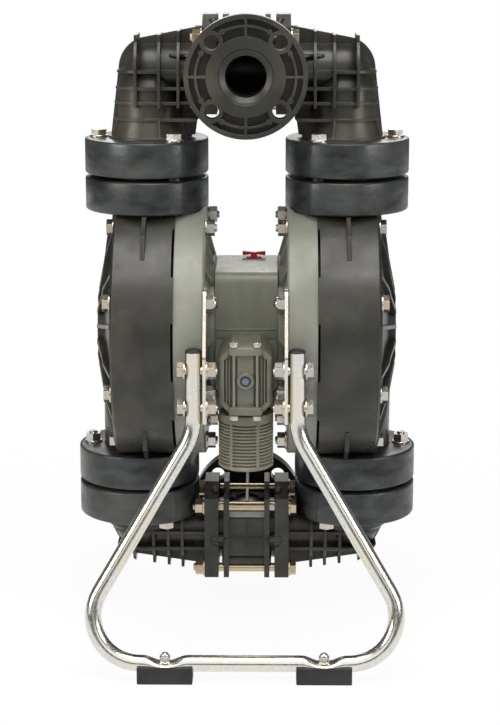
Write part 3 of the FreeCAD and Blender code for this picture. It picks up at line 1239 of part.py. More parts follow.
def nodes():
    """Every node of the pump by name."""
    top_joint = CHAMBER_Z + JOINT_H
    low_joint = CHAMBER_Z - JOINT_H
    parts = {}
    handed = {"fluid_cap": fluid_cap(), "air_cap": air_cap(), "discharge_elbow": discharge_elbow(),
              "suction_elbow": suction_elbow(), "diaphragm": diaphragm(), "inner_plate": inner_plate(),
              "outer_plate": outer_plate(), "discharge_seat": ball_seat(TOP_PORT_X, top_joint),
              "suction_seat": ball_seat(LOW_PORT_X, low_joint), "discharge_ball": ball(TOP_PORT_X, top_joint),
              "suction_ball": ball(LOW_PORT_X, low_joint)}
    for name, shape in handed.items():
        parts[name + "_right"] = shape
        parts[name + "_left"] = flipped(shape)
    parts["discharge_elbow_rings"] = ring_pair(TOP_PORT_X, 1, 1)
    parts["discharge_cap_rings"] = ring_pair(TOP_PORT_X, 1, -1)
    parts["suction_elbow_rings"] = ring_pair(LOW_PORT_X, -1, -1)
    parts["suction_cap_rings"] = ring_pair(LOW_PORT_X, -1, 1)
    parts["discharge_tee"] = flipped(tee(TOP_PORT_Z), Y_AXIS)
    parts["suction_tee"] = tee(LOW_PORT_Z)
    parts["manifold_orings"] = manifold_orings()
    parts["manifold_bolts"] = manifold_bolts()
    parts["manifold_nuts"] = manifold_nuts()
    parts["ring_bolts"] = ring_bolts()
    parts["ring_nuts"] = ring_nuts()
    parts["rim_bolts"] = rim_bolts()
    parts["rim_nuts"] = rim_nuts()
    parts["plate_cap_nuts"] = plate_cap_nuts()
    parts["center_body"] = center_body()
    parts["shaft_bushes"] = shaft_bushes()
    parts["main_shaft"] = main_shaft()
    parts["pilot_rod"] = pilot_rod()
    parts["air_valve_body"] = air_valve_body()
    parts["air_valve_cover"] = air_valve_cover()
    parts["valve_bolts"] = valve_bolts()
    parts["spool"] = spool()
    parts["reset_button"] = reset_button()
    parts["muffler"] = muffler()
    parts["air_inlet_plug"] = air_inlet_plug()
    front = stand_loop()
    parts["stand_front"] = front
    parts["stand_rear"] = flipped(front, Y_AXIS)
    parts["stand_plates"] = stand_plates()
    parts["stand_end_plugs"] = stand_end_plugs()
    parts["stand_bolts"] = stand_bolts()
    parts["stand_nuts"] = stand_nuts()
    parts["rubber_feet"] = rubber_feet()
    parts["foot_bolts"] = foot_bolts()
    parts["foot_cap_nuts"] = foot_cap_nuts()
    return parts


os.makedirs("parts", exist_ok=True)
for node, shape in nodes().items():
    shape.exportStep(os.path.join("parts", node + ".step"))
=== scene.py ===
import json
from math import atan2, cos, pi, radians, sin, sqrt, tan

import bmesh
import bpy
from bmesh.types import BMEdge, BMFace, BMVert
from bpy.types import NodeSocket, Operator, Panel, PropertyGroup
from mathutils import Matrix, Vector


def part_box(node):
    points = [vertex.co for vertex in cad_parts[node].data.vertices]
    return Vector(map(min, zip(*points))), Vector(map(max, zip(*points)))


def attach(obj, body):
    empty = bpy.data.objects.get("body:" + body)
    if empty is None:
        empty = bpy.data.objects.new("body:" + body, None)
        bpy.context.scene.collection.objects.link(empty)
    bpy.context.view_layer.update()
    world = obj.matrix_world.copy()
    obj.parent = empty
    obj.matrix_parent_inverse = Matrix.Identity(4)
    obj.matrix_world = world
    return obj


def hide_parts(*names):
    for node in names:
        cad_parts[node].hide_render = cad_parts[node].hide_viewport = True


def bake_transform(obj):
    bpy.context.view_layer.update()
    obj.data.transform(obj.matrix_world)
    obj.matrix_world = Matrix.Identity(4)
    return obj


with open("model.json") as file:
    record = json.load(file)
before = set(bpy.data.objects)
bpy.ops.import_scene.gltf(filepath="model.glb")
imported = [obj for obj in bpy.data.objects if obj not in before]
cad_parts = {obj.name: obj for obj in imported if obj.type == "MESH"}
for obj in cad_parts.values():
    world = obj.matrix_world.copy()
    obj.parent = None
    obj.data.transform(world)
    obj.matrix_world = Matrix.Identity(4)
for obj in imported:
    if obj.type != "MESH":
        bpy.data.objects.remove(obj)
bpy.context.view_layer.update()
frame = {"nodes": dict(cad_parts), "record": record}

# Air-operated diaphragm pump: finishes, detailed pieces and a plain studio round it.
# Lengths are metres in the part's frame, +Z up, with the discharge flange facing -Y.

bl_info = {
    "name": "Diaphragm pump dresser",
    "version": (1, 0, 0),
    "blender": (4, 5, 0),
    "location": "View3D > Sidebar > Pump",
    "description": "Adds finishes, details, fasteners and a studio to a double diaphragm pump",
    "category": "Object",
}

NODES = frame["nodes"]
IMAGE_SIZE = (500, 725)
SENSOR = 36.0
WHITE = (1.0, 1.0, 1.0, 1.0)
UP = Vector((0, 0, 1))
JOINTS = (("discharge", 1), ("suction", -1))
HANDS = (("left", -1), ("right", 1))


def middle(node):
    """Centre of a CAD node's box."""
    low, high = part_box(node)
    return (low + high) / 2


# Settings that a user would change


def number(name, description, value, kind=bpy.props.FloatProperty, **more):
    """A number property with its default."""
    return kind(name=name, description=description, default=value, **more)


class PumpSizes(PropertyGroup):
    """Sizes of the moulded details, and the camera's place"""
    ring_fillet: number("Ring fillet", "Rounding of the rings' outer edges", 0.003, min=0.0, unit="LENGTH")
    ring_relief: number("Ring relief", "Hollow in the lower ring's top face at each joint", 0.0018, min=0.0,
                        unit="LENGTH")
    edge_round: number("Moulded edge", "Rounding seen on the edges of moulded plastic", 0.0009, min=0.0,
                       unit="LENGTH")
    slots: number("Muffler slots", "Rings of slots round the muffler", 13, bpy.props.IntProperty, min=2)
    camera_height: number("Camera height", "Height of the camera above the floor", 0.938, unit="LENGTH")
    camera_distance: number("Camera distance", "Distance in front of the middle", 2.55, unit="LENGTH")
    camera_side: number("Camera side step", "Distance to the right of the middle", 0.030, unit="LENGTH")
    camera_pitch: number("Camera pitch", "Angle of looking down", radians(13.0), subtype="ANGLE")
    camera_focal_px: number("Focal length in pixels", "Focal length in the picture's own pixels", 1930.0)
    centre_px: number("Centre column", "Picture column of the pump's middle plane", 247.0)


def colour(name, description, value):
    """A colour property with its default."""
    return number(name, description, value, bpy.props.FloatVectorProperty,
                  subtype="COLOR", size=3, min=0.0, max=1.0)


class PumpColours(PropertyGroup):
    """Base colours of the pump's materials"""
    black: colour("Black plastic", "Caps, elbows and tees", (0.0180, 0.0178, 0.0140))
    # Random brownish patches in the black plastic's colour stand in for the elbows' highlights: painted
    # highlight.
    black_highlight_patch: colour("Black patches", "Brownish patches of painted highlight", (0.060, 0.051, 0.036))
    ring: colour("Ring plastic", "Clamp rings", (0.015, 0.0180, 0.0185))
    # The ring's greenish patches are partly flow marks and partly painted reflections of a slightly uneven
    # surface.
    ring_patch_and_sheen: colour("Ring patches and sheen", "Greenish flow marks", (0.056, 0.060, 0.053))
    grey: colour("Grey plastic", "Air side caps", (0.190, 0.194, 0.166))
    grey_patch: colour("Grey patches", "Greenish flow marks", (0.222, 0.226, 0.192))
    body: colour("Body plastic", "Centre body", (0.205, 0.210, 0.171))
    body_patch: colour("Body patches", "Warm flow marks", (0.248, 0.245, 0.198))
    valve: colour("Valve plastic", "Air valve body and cover", (0.136, 0.137, 0.108))
    muffler: colour("Muffler plastic", "Exhaust muffler", (0.190, 0.186, 0.138))
    muffler_patch: colour("Muffler patches", "Brownish tint", (0.230, 0.213, 0.148))
    rubber: colour("Rubber", "Feet, plugs and seals", (0.012, 0.012, 0.012))
    steel: colour("Stainless steel", "Tubes and plates", (0.78, 0.77, 0.72))
    steel_warm: colour("Warm steel", "Faint straw tint along the tubes", (0.77, 0.72, 0.61))
    bolt: colour("Bolt steel", "Hex bolts and nuts", (0.62, 0.60, 0.56))
    bolt_warm: colour("Warm bolt steel", "Peach tint that some heads have", (0.62, 0.54, 0.43))
    golden: colour("Passivated steel", "Long manifold bolts", (0.60, 0.50, 0.34))
    plug: colour("Plug red", "Transport plug", (0.62, 0.018, 0.024))
    button: colour("Button blue", "Reset button", (0.115, 0.155, 0.20))
    white: colour("Valve white", "Balls, seats and bushes", (0.78, 0.78, 0.74))
    cast: colour("Cast plate", "Diaphragm plates", (0.34, 0.335, 0.30))


def sizes():
    """The size settings of this scene."""
    return bpy.context.scene.pump_sizes


# Shader helpers

GRAIN_GROUP = "Moulded grain"
GRAIN_INPUTS = (("Grain scale", 900.0, 5000.0), ("Upright stretch", 1.0, 20.0), ("Scuff amount", 0.4, 1.0),
                ("Edge radius", 0.0012, 0.01), ("Unevenness", 4.0, 40.0))
GRAIN_OUTPUTS = ("Tone", "Patch", "Scuff", "Edge", "Height")
BUMP_DISTANCE = 0.0002
METAL_EDGE = 0.0004


def feed(tree, node, inputs):
    """Links or sets a node's inputs."""
    for key, value in inputs.items():
        if isinstance(value, NodeSocket):
            tree.links.new(value, node.inputs[key])
        else:
            node.inputs[key].default_value = value


def add_node(tree, kind, inputs=None, **settings):
    """New shader node."""
    node = tree.nodes.new("ShaderNode" + kind)
    for name, value in settings.items():
        setattr(node, name, value)
    feed(tree, node, inputs or {})
    return node


def noise(tree, place, scale, detail, rough=0.5):
    """Value of a noise texture."""
    inputs = {"Vector": place, "Scale": scale, "Detail": detail, "Roughness": rough}
    return add_node(tree, "TexNoise", inputs).outputs["Fac"]


def calculated(tree, operation, first, second):
    """Result of a math node."""
    return add_node(tree, "Math", {0: first, 1: second}, operation=operation).outputs["Value"]


def mixed(tree, factor, below, above):
    """Mix of two colours, each a link or fixed."""
    ends = [end if isinstance(end, NodeSocket) else (*end, 1.0) for end in (below, above)]
    inputs = {"Factor": factor, "A": ends[0], "B": ends[1]}
    return add_node(tree, "Mix", inputs, data_type="RGBA").outputs["Result"]


def spread(tree, value, given=(0.0, 1.0), wanted=(0.0, 1.0)):
    """Maps one range of a value to another."""
    inputs = dict(zip(("From Min", "From Max", "To Min", "To Max"), given + wanted), Value=value)
    return add_node(tree, "MapRange", inputs).outputs["Result"]


def moulded_grain():
    """Node group with the blotches, tints, scuffs, worn edges that also carry a painted edge highlight, and
    grain of moulded plastic.
    """
    tree = bpy.data.node_groups.get(GRAIN_GROUP)
    if tree:
        return tree
    tree = bpy.data.node_groups.new(GRAIN_GROUP, "ShaderNodeTree")
    for name, value, highest in GRAIN_INPUTS:
        made = tree.interface.new_socket(name, in_out="INPUT", socket_type="NodeSocketFloat")
        made.default_value, made.min_value, made.max_value = value, 0.0, highest
    for name in GRAIN_OUTPUTS:
        tree.interface.new_socket(name, in_out="OUTPUT", socket_type="NodeSocketFloat")
    given = tree.nodes.new("NodeGroupInput").outputs
    place = add_node(tree, "TexCoord").outputs["Object"]
    factors = add_node(tree, "CombineXYZ", {"X": 1.0, "Y": 1.0, "Z": given["Upright stretch"]})
    stretched = add_node(tree, "VectorMath", {0: place, 1: factors.outputs["Vector"]}, operation="MULTIPLY")
    stretched = stretched.outputs["Vector"]
    grain = noise(tree, place, given["Grain scale"], 2.0)
    blotch = noise(tree, stretched, 22.0, 6.0, 0.62)
    patch = noise(tree, stretched, 9.0, 3.0)
    scuff = noise(tree, place, 60.0, 8.0, 0.75)
    soft = add_node(tree, "Bevel", {"Radius": given["Edge radius"]}, samples=5).outputs["Normal"]
    flat = add_node(tree, "NewGeometry").outputs["Normal"]
    turn = add_node(tree, "VectorMath", {0: soft, 1: flat}, operation="DOT_PRODUCT").outputs["Value"]
    swell = calculated(tree, "MULTIPLY", blotch, given["Unevenness"])
    feed(tree, tree.nodes.new("NodeGroupOutput"), {
        "Tone": spread(tree, blotch, (0.34, 0.66)),
        "Patch": spread(tree, patch, (0.48, 0.68)),
        "Scuff": calculated(tree, "MULTIPLY", spread(tree, scuff, (0.56, 0.72)), given["Scuff amount"]),
        # Edge lightens rims towards pale: partly wear, partly a painted edge highlight.
        "Edge": calculated(tree, "MULTIPLY", spread(tree, turn, (0.985, 0.80)), scuff),
        "Height": calculated(tree, "ADD", swell, grain)})
    return tree


def new_material(name):
    """Bare material of that name, with its tree and shader."""
    material = bpy.data.materials.get(name) or bpy.data.materials.new(name)
    material.use_nodes = True
    tree = material.node_tree
    tree.nodes.clear()
    shader = add_node(tree, "BsdfPrincipled")
    add_node(tree, "OutputMaterial", {"Surface": shader.outputs["BSDF"]})
    return material, tree, shader


def rounded_normal(tree, radius, height, depth):
    """Normal with rounded edges and a bump."""
    edge = add_node(tree, "Bevel", {"Radius": radius}, samples=6).outputs["Normal"]
    inputs = {"Strength": depth, "Distance": BUMP_DISTANCE, "Height": height, "Normal": edge}
    return add_node(tree, "Bump", inputs).outputs["Normal"]


def plastic(name, base, rough, scuff, tone, patch=None, edge_wear_and_sheen=0.5, stretch=1.0, uneven=4.0):
    """Moulded plastic."""
    material, tree, shader = new_material(name)
    radius = sizes().edge_round
    seen = add_node(tree, "Group", {
        "Upright stretch": stretch, "Scuff amount": scuff, "Unevenness": uneven,
        "Edge radius": max(radius, 0.0006) * 1.4}, node_tree=moulded_grain()).outputs
    pale = [min(1.0, c * 1.9 + 0.03) for c in base]
    tint = mixed(tree, seen["Tone"], [c * (1 - tone * 0.6) for c in base], [c * (1 + tone) for c in base])
    if patch:
        tint = mixed(tree, seen["Patch"], tint, patch)
    tint = mixed(tree, seen["Scuff"], tint, pale)
    # Lighter edges: partly worn edges, partly a painted edge highlight.
    tint = mixed(tree, calculated(tree, "MULTIPLY", seen["Edge"], edge_wear_and_sheen), tint, pale)
    feed(tree, shader, {
        "Base Color": tint, "Roughness": spread(tree, seen["Tone"], wanted=(rough + 0.10, rough - 0.10)),
        "Normal": rounded_normal(tree, radius, seen["Height"], 0.25)})
    return material


def metal(name, base, rough, variation=0.10, warm=None, grain=40.0):
    """Bare metal with patchy gloss and heat tints."""
    material, tree, shader = new_material(name)
    place = add_node(tree, "TexCoord").outputs["Object"]
    finer = add_node(tree, "Mapping", {"Vector": place, "Scale": (grain, grain, grain)}).outputs["Vector"]
    cloud = noise(tree, finer, 6.0, 2.0)
    tint = mixed(tree, cloud, [c * 0.72 for c in base], [min(1.0, c * 1.15) for c in base])
    if warm:
        tint = mixed(tree, spread(tree, noise(tree, place, 16.0, 1.0), (0.46, 0.62)), tint, warm)
    gloss = spread(tree, cloud, (0.3, 0.7), (max(0.04, rough - variation), rough + variation))
    feed(tree, shader, {"Metallic": 1.0, "Base Color": tint, "Roughness": gloss,
                        "Normal": rounded_normal(tree, METAL_EDGE, cloud, 0.02)})
    return material


def make_materials():
    """Every finish, by the record's material slot."""
    c = bpy.context.scene.pump_colours
    made = (
        plastic("black_plastic", c.black, 0.34, 0.25, 0.6, c.black_highlight_patch, edge_wear_and_sheen=0.35, uneven=6.0),
        # Rings: the wide tone range and the greenish patches are partly flow marks and partly painted soft
        # reflections.
        plastic("ring_plastic", c.ring, 0.34, 0.6, 1.6, c.ring_patch_and_sheen, stretch=2.4, uneven=14.0),
        plastic("grey_plastic", c.grey, 0.40, 0.2, 0.16, c.grey_patch, stretch=0.3),
        plastic("body_grey", c.body, 0.36, 0.15, 0.2, c.body_patch, stretch=0.3, uneven=0.5),
        plastic("valve_grey", c.valve, 0.34, 0.2, 0.25),
        plastic("muffler_grey", c.muffler, 0.42, 0.2, 0.25, c.muffler_patch),
        plastic("valve_white", c.white, 0.30, 0.0, 0.05),
        plastic("diaphragm_rubber", c.rubber, 0.6, 0.1, 0.2),
        plastic("seal_rubber", c.rubber, 0.5, 0.3, 0.4),
        plastic("plug_red", c.plug, 0.48, 0.1, 0.1, edge_wear_and_sheen=0.1),
        plastic("button_blue", c.button, 0.30, 0.0, 0.1, edge_wear_and_sheen=0.2),
        metal("plate_metal", c.cast, 0.42),
        metal("shaft_steel", c.steel, 0.20),
        metal("tube_steel", c.steel, 0.21, 0.05, c.steel_warm),
        metal("bolt_steel", c.bolt, 0.27, 0.06, c.bolt_warm, 12.0),
        metal("golden_steel", c.golden, 0.29, 0.06, c.bolt_warm, 12.0))
    return {material.name: material for material in made}


# Mesh helpers

FASTENER_SMOOTH = 20.0
SAME_POINT = 1e-6
ARC_STEPS = 14
PATH_STEP = 0.004


def linked(name, data):
    """New object in the scene."""
    made = bpy.data.objects.new(name, data)
    bpy.context.scene.collection.objects.link(made)
    return made


def as_data(bm, name, outward=True):
    """Merges doubled points, turns normals outward and makes a mesh."""
    bmesh.ops.remove_doubles(bm, verts=bm.verts[:], dist=SAME_POINT)
    if outward:
        bmesh.ops.recalc_face_normals(bm, faces=bm.faces[:])
    mesh = bpy.data.meshes.new(name)
    bm.to_mesh(mesh)
    bm.free()
    return mesh


def finished(bm, name, slot, replaced=(), body="housing", smooth=32.0):
    """Makes a piece that wears a slot's material and rides on a body, if one is given."""
    mesh = as_data(bm, name)
    piece = linked(name, mesh)
    mesh.shade_smooth()
    mesh.set_sharp_from_angle(angle=radians(smooth))
    mesh.materials.append(bpy.data.materials[slot])
    if body:
        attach(piece, body)
    if replaced:
        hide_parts(*replaced)
    return piece


def fastened(bm, name, node, slot="bolt_steel"):
    """Finishes fasteners that replace a CAD node, with crisp flats."""
    finished(bm, name, slot, [node], smooth=FASTENER_SMOOTH)


def only(items, kind):
    """The items of one kind, such as BMVert."""
    return [item for item in items if isinstance(item, kind)]


def round_off(bm, geom, offset, segments=2, affect="EDGES"):
    """Rounds edges or corners."""
    bmesh.ops.bevel(bm, geom=geom, affect=affect, offset=offset, segments=segments, profile=0.5, material=-1)


def edges_of(verts):
    """The edges that meet at vertices."""
    return list(dict.fromkeys(edge for vert in verts for edge in vert.link_edges))


def loop(bm, points):
    """Vertices and edges of a closed polyline."""
    verts = [bm.verts.new(point) for point in points]
    return verts, [bm.edges.new(pair) for pair in zip(verts, verts[1:] + verts[:1])]


def rod(radius, low, high):
    """Profile of a plain cylinder, to be spun."""
    return [(0, low), (radius, low), (radius, high), (0, high)]


def four(x, y):
    """The four points with these coordinates and either sign."""
    return [(across, along) for across in (-x, x) for along in (-y, y)]


def spun(bm, profile, segments=32):
    """Revolves (radius, height) points about the Z axis."""
    verts = [bm.verts.new((radius, 0.0, height)) for radius, height in profile]
    edges = [bm.edges.new(pair) for pair in zip(verts, verts[1:])]
    bmesh.ops.spin(bm, geom=verts + edges, cent=(0, 0, 0), axis=(0, 0, 1), angle=2 * pi,
                   steps=segments, use_merge=True, use_duplicate=False)


def raised(bm, faces, offset):
    """Extrudes faces and gives what that made."""
    made = bmesh.ops.extrude_face_region(bm, geom=faces)["geom"]
    bmesh.ops.translate(bm, vec=offset, verts=only(made, BMVert))
    return made


def upright(bm, outline, y):
    """Face through (x, z) points."""
    return bm.faces.new([bm.verts.new((x, y, z)) for x, z in outline])


def prism(bm, outline, y, depth, fillet):
    """Extrudes (x, z) points along Y, and rounds the far end's edges."""
    made = raised(bm, [upright(bm, outline, y)], (0, depth, 0))
    round_off(bm, only(made, BMEdge), fillet)


def block(bm, low, high, fillet):
    """Box between two corners with rounded edges."""
    low, high = Vector(low), Vector(high)
    matrix = Matrix.Translation((low + high) / 2) @ Matrix.Diagonal((*(high - low), 1.0))
    round_off(bm, edges_of(bmesh.ops.create_cube(bm, size=1.0, matrix=matrix)["verts"]), fillet)


def as_mesh(build, *args):
    """Keeps what a builder makes, to stamp it."""
    bm = bmesh.new()
    build(bm, *args)
    return as_data(bm, "stamp", False)


def add_moved(bm, mesh, matrix):
    """Adds a moved copy of a mesh."""
    copy = mesh.copy()
    copy.transform(matrix)
    bm.from_mesh(copy)
    bpy.data.meshes.remove(copy)


def stamp(bm, mesh, place, direction=UP):
    """Adds a copy of a mesh with its Z axis along a direction."""
    turn = Vector(direction).to_track_quat("Z", "Y").to_matrix().to_4x4()
    add_moved(bm, mesh, Matrix.Translation(place) @ turn)


def turned(degrees):
    """Turn about the Z axis."""
    return Matrix.Rotation(radians(degrees), 4, "Z")


def mirrored(side, place):
    """Moves a right-hand shape to either side."""
    return Matrix.Translation((side * place.x, place.y, 0)) @ Matrix.Diagonal((side, 1, 1, 1))


def swept_tube(bm, frames, radius):
    """Tube along frames, closed at its first end."""
    ring = bmesh.ops.create_circle(bm, cap_ends=True, segments=32, radius=radius, matrix=frames[0])
    edges = edges_of(ring["verts"])
    for before, here in zip(frames, frames[1:]):
        step = bmesh.ops.extrude_edge_only(bm, edges=edges)["geom"]
        edges = only(step, BMEdge)
        bmesh.ops.transform(bm, matrix=here @ before.inverted(), verts=only(step, BMVert))


def frames_along(points):
    """Frames that follow a path without twisting."""
    frames = []
    last = points[1] - points[0]
    turn = last.to_track_quat("Z", "Y")
    for index, point in enumerate(points):
        ahead = points[min(index + 1, len(points) - 1)] - points[max(index - 1, 0)]
        turn = last.rotation_difference(ahead) @ turn
        last = ahead
        frames.append(Matrix.Translation(point) @ turn.to_matrix().to_4x4())
    return frames


def rounded_path(corners, radii):
    """Points along a polyline with rounded corners."""
    points = [corners[0]]
    for before, corner, after, radius in zip(corners, corners[1:], corners[2:], radii):
        back = (before - corner).normalized()
        ahead = (after - corner).normalized()
        half = back.angle(ahead) / 2
        start = corner + back * (radius / tan(half))
        centre = corner + (back + ahead).normalized() * (radius / sin(half))
        whole = pi - 2 * half
        axis = back.cross(ahead).normalized() * -1
        fill_line(points, start)
        for index in range(1, ARC_STEPS + 1):
            points.append(centre + Matrix.Rotation(whole * index / ARC_STEPS, 3, axis) @ (start - centre))
    fill_line(points, corners[-1])
    return points


def fill_line(points, end):
    """Adds evenly spaced points up to an end."""
    start = points[-1].copy()
    count = max(1, round((end - start).length / PATH_STEP))
    points += [start.lerp(end, index / count) for index in range(1, count + 1)]


# Fasteners

LAP = 0.0002
THREAD_ROOT = 0.88
DOME_ANGLES = (0.0, 0.25, 0.5, 0.75, 1.0, 1.25)
# Radius, width across flats, height and washer's thickness of a head and of a nut
M12_HEAD = (0.006, 0.019, 0.0075, 0.0025)
M12_NUT = (0.006, 0.019, 0.010, 0.0025)
M12_END = 0.003
PLATE_T, DOMED_NUT_T = 0.004, 0.015
RING_BOLT_R, RING_BOLT_LENGTH = 0.068, 0.09
RIM_BOLTS, RIM_BOLT_R, RIM_BOLT_LENGTH = 8, 0.155, 0.115
RIM_HEAD_X, RIM_NUT_INSET, PLATED_Y = 0.1723, 0.0383, 0.128
MANIFOLD_BOLT_Y, MANIFOLD_BOLT_Z, MANIFOLD_FACE_X = 0.045, 0.043, 0.057
ORING_R = 0.0352


def hexagon(bm, across, low, height, chamfer, both=False):
    """Hexagonal block with its upper or all its corners turned off."""
    radius, centre = across / sqrt(3), low + height / 2
    made = bmesh.ops.create_cone(bm, cap_ends=True, segments=6, radius1=radius, radius2=radius, depth=height,
                                 matrix=Matrix.Translation((0, 0, centre)))["verts"]
    round_off(bm, [vert for vert in made if both or vert.co.z > centre], chamfer, affect="VERTICES")


def washer(bm, radius, thick):
    """Flat washer with softened rims."""
    soft = thick * 0.25
    spun(bm, [(0, 0), (radius, 0), (radius, thick - soft), (radius - soft, thick), (0, thick)], 40)


def thread(bm, radius, low, length, pitch):
    """Threaded end with a pointed rim."""
    turns = max(1, int((length - pitch * 0.5) / pitch))
    profile = [(0, low)]
    for z in [low + index * pitch for index in range(turns)]:
        profile += [(radius * THREAD_ROOT, z), (radius, z + pitch / 2)]
    profile += [(radius * THREAD_ROOT, low + turns * pitch), (radius * 0.8, low + length), (0, low + length)]
    spun(bm, profile, 24)


def head_stamp(bm, bolt_r, across, height, thick, length):
    """Bolt with its washer on the seat and its head outward."""
    base, top = thick + height * 0.98, thick + height + LAP
    washer(bm, bolt_r * 2, thick)
    hexagon(bm, across, thick, height, height * 0.17)
    spun(bm, [(0, base), (across * 0.40, base), (across * 0.37, top), (0, top)], 24)
    spun(bm, rod(bolt_r, 0, -length), 24)


def nut_stamp(bm, bolt_r, across, height, thick, through):
    """Nut on its washer, with the bolt's end."""
    washer(bm, bolt_r * 2, thick)
    hexagon(bm, across, thick, height, height * 0.12, both=True)
    thread(bm, bolt_r, thick + height * 0.9, through + height * 0.1, bolt_r * 0.3)


def cap_stamp(bm, across, height):
    """Domed nut."""
    flats = height * 0.55
    base, rise, dome_r = flats - LAP, height - flats, across / 2 * 0.88
    hexagon(bm, across, 0, flats, flats * 0.2, both=True)
    arc = [(dome_r * cos(angle), base + rise * sin(angle)) for angle in DOME_ANGLES]
    spun(bm, [(0, base)] + arc + [(0, height)])


def bolted(name, length, seats, slot="bolt_steel", end=M12_END):
    """Bolts and nuts on seats of (head's place, nut's place or None, way the head points)."""
    bolts, nuts = bmesh.new(), bmesh.new()
    head, nut = as_mesh(head_stamp, *M12_HEAD, length), as_mesh(nut_stamp, *M12_NUT, end)
    for head_place, nut_place, out in seats:
        stamp(bolts, head, head_place, out)
        if nut_place:
            stamp(nuts, nut, nut_place, -out)
    fastened(bolts, name + "_bolt_set", name + "_bolts", slot)
    fastened(nuts, name + "_nut_set", name + "_nuts", slot)


def ring_bolt_places():
    """Ring bolts as (x, y, side of the joint, sunk nut)."""
    places = []
    for joint, side in JOINTS:
        centre = middle(joint + "_seat_right")
        for angle in (0, 120, 240):
            turn = radians(angle)
            x, y = centre.x + RING_BOLT_R * cos(turn), RING_BOLT_R * sin(turn)
            places += [(mirror * x, y, side, side > 0 or angle > 0) for mirror in (-1, 1)]
    return places


def ring_faces(side):
    """Heights of a joint's four ring faces, from the elbow to the chamber."""
    joint = "discharge" if side > 0 else "suction"
    heights = [corner.z for kind in ("_elbow_rings", "_cap_rings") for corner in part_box(joint + kind)]
    return sorted(heights, reverse=side > 0)


def port_height(joint):
    """Height of the run of the discharge or the suction manifold."""
    low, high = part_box("manifold_orings")
    return high.z - ORING_R if joint == "discharge" else low.z + ORING_R


class PUMP_OT_ring_fasteners(Operator):
    """Hex bolts, washers and nuts of the clamp rings"""
    bl_idname = "pump.ring_fasteners"
    bl_label = "Ring bolts and nuts"

    def execute(self, context):
        sink = M12_NUT[2] + M12_NUT[3]
        seats = []
        for x, y, side, sunk in ring_bolt_places():
            faces = ring_faces(side)
            seats.append(((x, y, faces[0]), (x, y, faces[3] + side * sink * sunk), Vector((0, 0, side))))
        bolted("ring", RING_BOLT_LENGTH, seats)
        return {"FINISHED"}


class PUMP_OT_rim_fasteners(Operator):
    """Bolts, nuts and domed nuts round the chambers"""
    bl_idname = "pump.rim_fasteners"
    bl_label = "Rim bolts and nuts"

    def execute(self, context):
        axis_z = middle("main_shaft").z
        face_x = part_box("air_cap_right")[1].x - RIM_NUT_INSET
        caps, domed = bmesh.new(), as_mesh(cap_stamp, M12_HEAD[1], DOMED_NUT_T)
        seats = []
        for step in range(RIM_BOLTS):
            turn = radians(22.5 + 45 * step)
            y, z = RIM_BOLT_R * cos(turn), axis_z + RIM_BOLT_R * sin(turn)
            plated = abs(y) > PLATED_Y
            for side in (-1, 1):
                out = Vector((side, 0, 0))
                seats.append(((side * RIM_HEAD_X, y, z), None if plated else (side * face_x, y, z), out))
                if plated:
                    stamp(caps, domed, (side * (face_x - PLATE_T), y, z), -out)
        bolted("rim", RIM_BOLT_LENGTH, seats)
        fastened(caps, "plate_nut_set", "plate_cap_nuts")
        return {"FINISHED"}


class PUMP_OT_manifold_fasteners(Operator):
    """Long golden bolts and nuts through the manifold joints"""
    bl_idname = "pump.manifold_fasteners"
    bl_label = "Manifold bolts and nuts"

    def execute(self, context):
        seats = []
        for joint, _ in JOINTS:
            for y, rise in four(MANIFOLD_BOLT_Y, MANIFOLD_BOLT_Z):
                z = port_height(joint) + rise
                seats.append(((MANIFOLD_FACE_X, y, z), (-MANIFOLD_FACE_X, y, z), Vector((1, 0, 0))))
        bolted("manifold", 2 * MANIFOLD_FACE_X, seats, "golden_steel")
        return {"FINISHED"}


# Clamp rings

RING_SEAM, PARTING = 120, 124
RING_STEPS = 120
RING_BORE_R = 0.0525
FLAT_SIDE = 1.1676
SPACER_R = 0.0088
BORE_MARGIN = 0.002


def ring_reach(degrees, radius):
    """A clamp ring's reach at an angle, flatter towards the pump's middle."""
    if abs(degrees) <= RING_SEAM:
        return radius
    seam, angle, flat = radians(RING_SEAM), radians(degrees), radius * FLAT_SIDE
    offset = radius * cos(seam) + sqrt(flat ** 2 - (radius * sin(seam)) ** 2)
    along = offset * cos(angle)
    return along + sqrt(along ** 2 - offset ** 2 + flat ** 2)


def clamp_ring(bm, low, high, radius, fillet):
    """One thick ring with well-rounded rims round the Z axis."""
    outline = []
    for degrees in [-180 + 360 * step / RING_STEPS for step in range(RING_STEPS)]:
        reach, angle = ring_reach(degrees, radius), radians(degrees)
        outline.append((reach * cos(angle), reach * sin(angle), low))
    outer = loop(bm, outline)[1]
    hole = bmesh.ops.create_circle(bm, segments=RING_STEPS, radius=RING_BORE_R,
                                   matrix=Matrix.Translation((0, 0, low)) @ turned(180))["verts"]
    raised(bm, bmesh.ops.bridge_loops(bm, edges=outer + edges_of(hole))["faces"], (0, 0, high - low))
    rims = [edge for edge in bm.edges if edge.verts[0].co.xy.length > RING_BORE_R + BORE_MARGIN
            and edge.calc_face_angle(0) > 1.2 and abs((edge.verts[0].co - edge.verts[1].co).z) < SAME_POINT]
    round_off(bm, rims, fillet, 4)


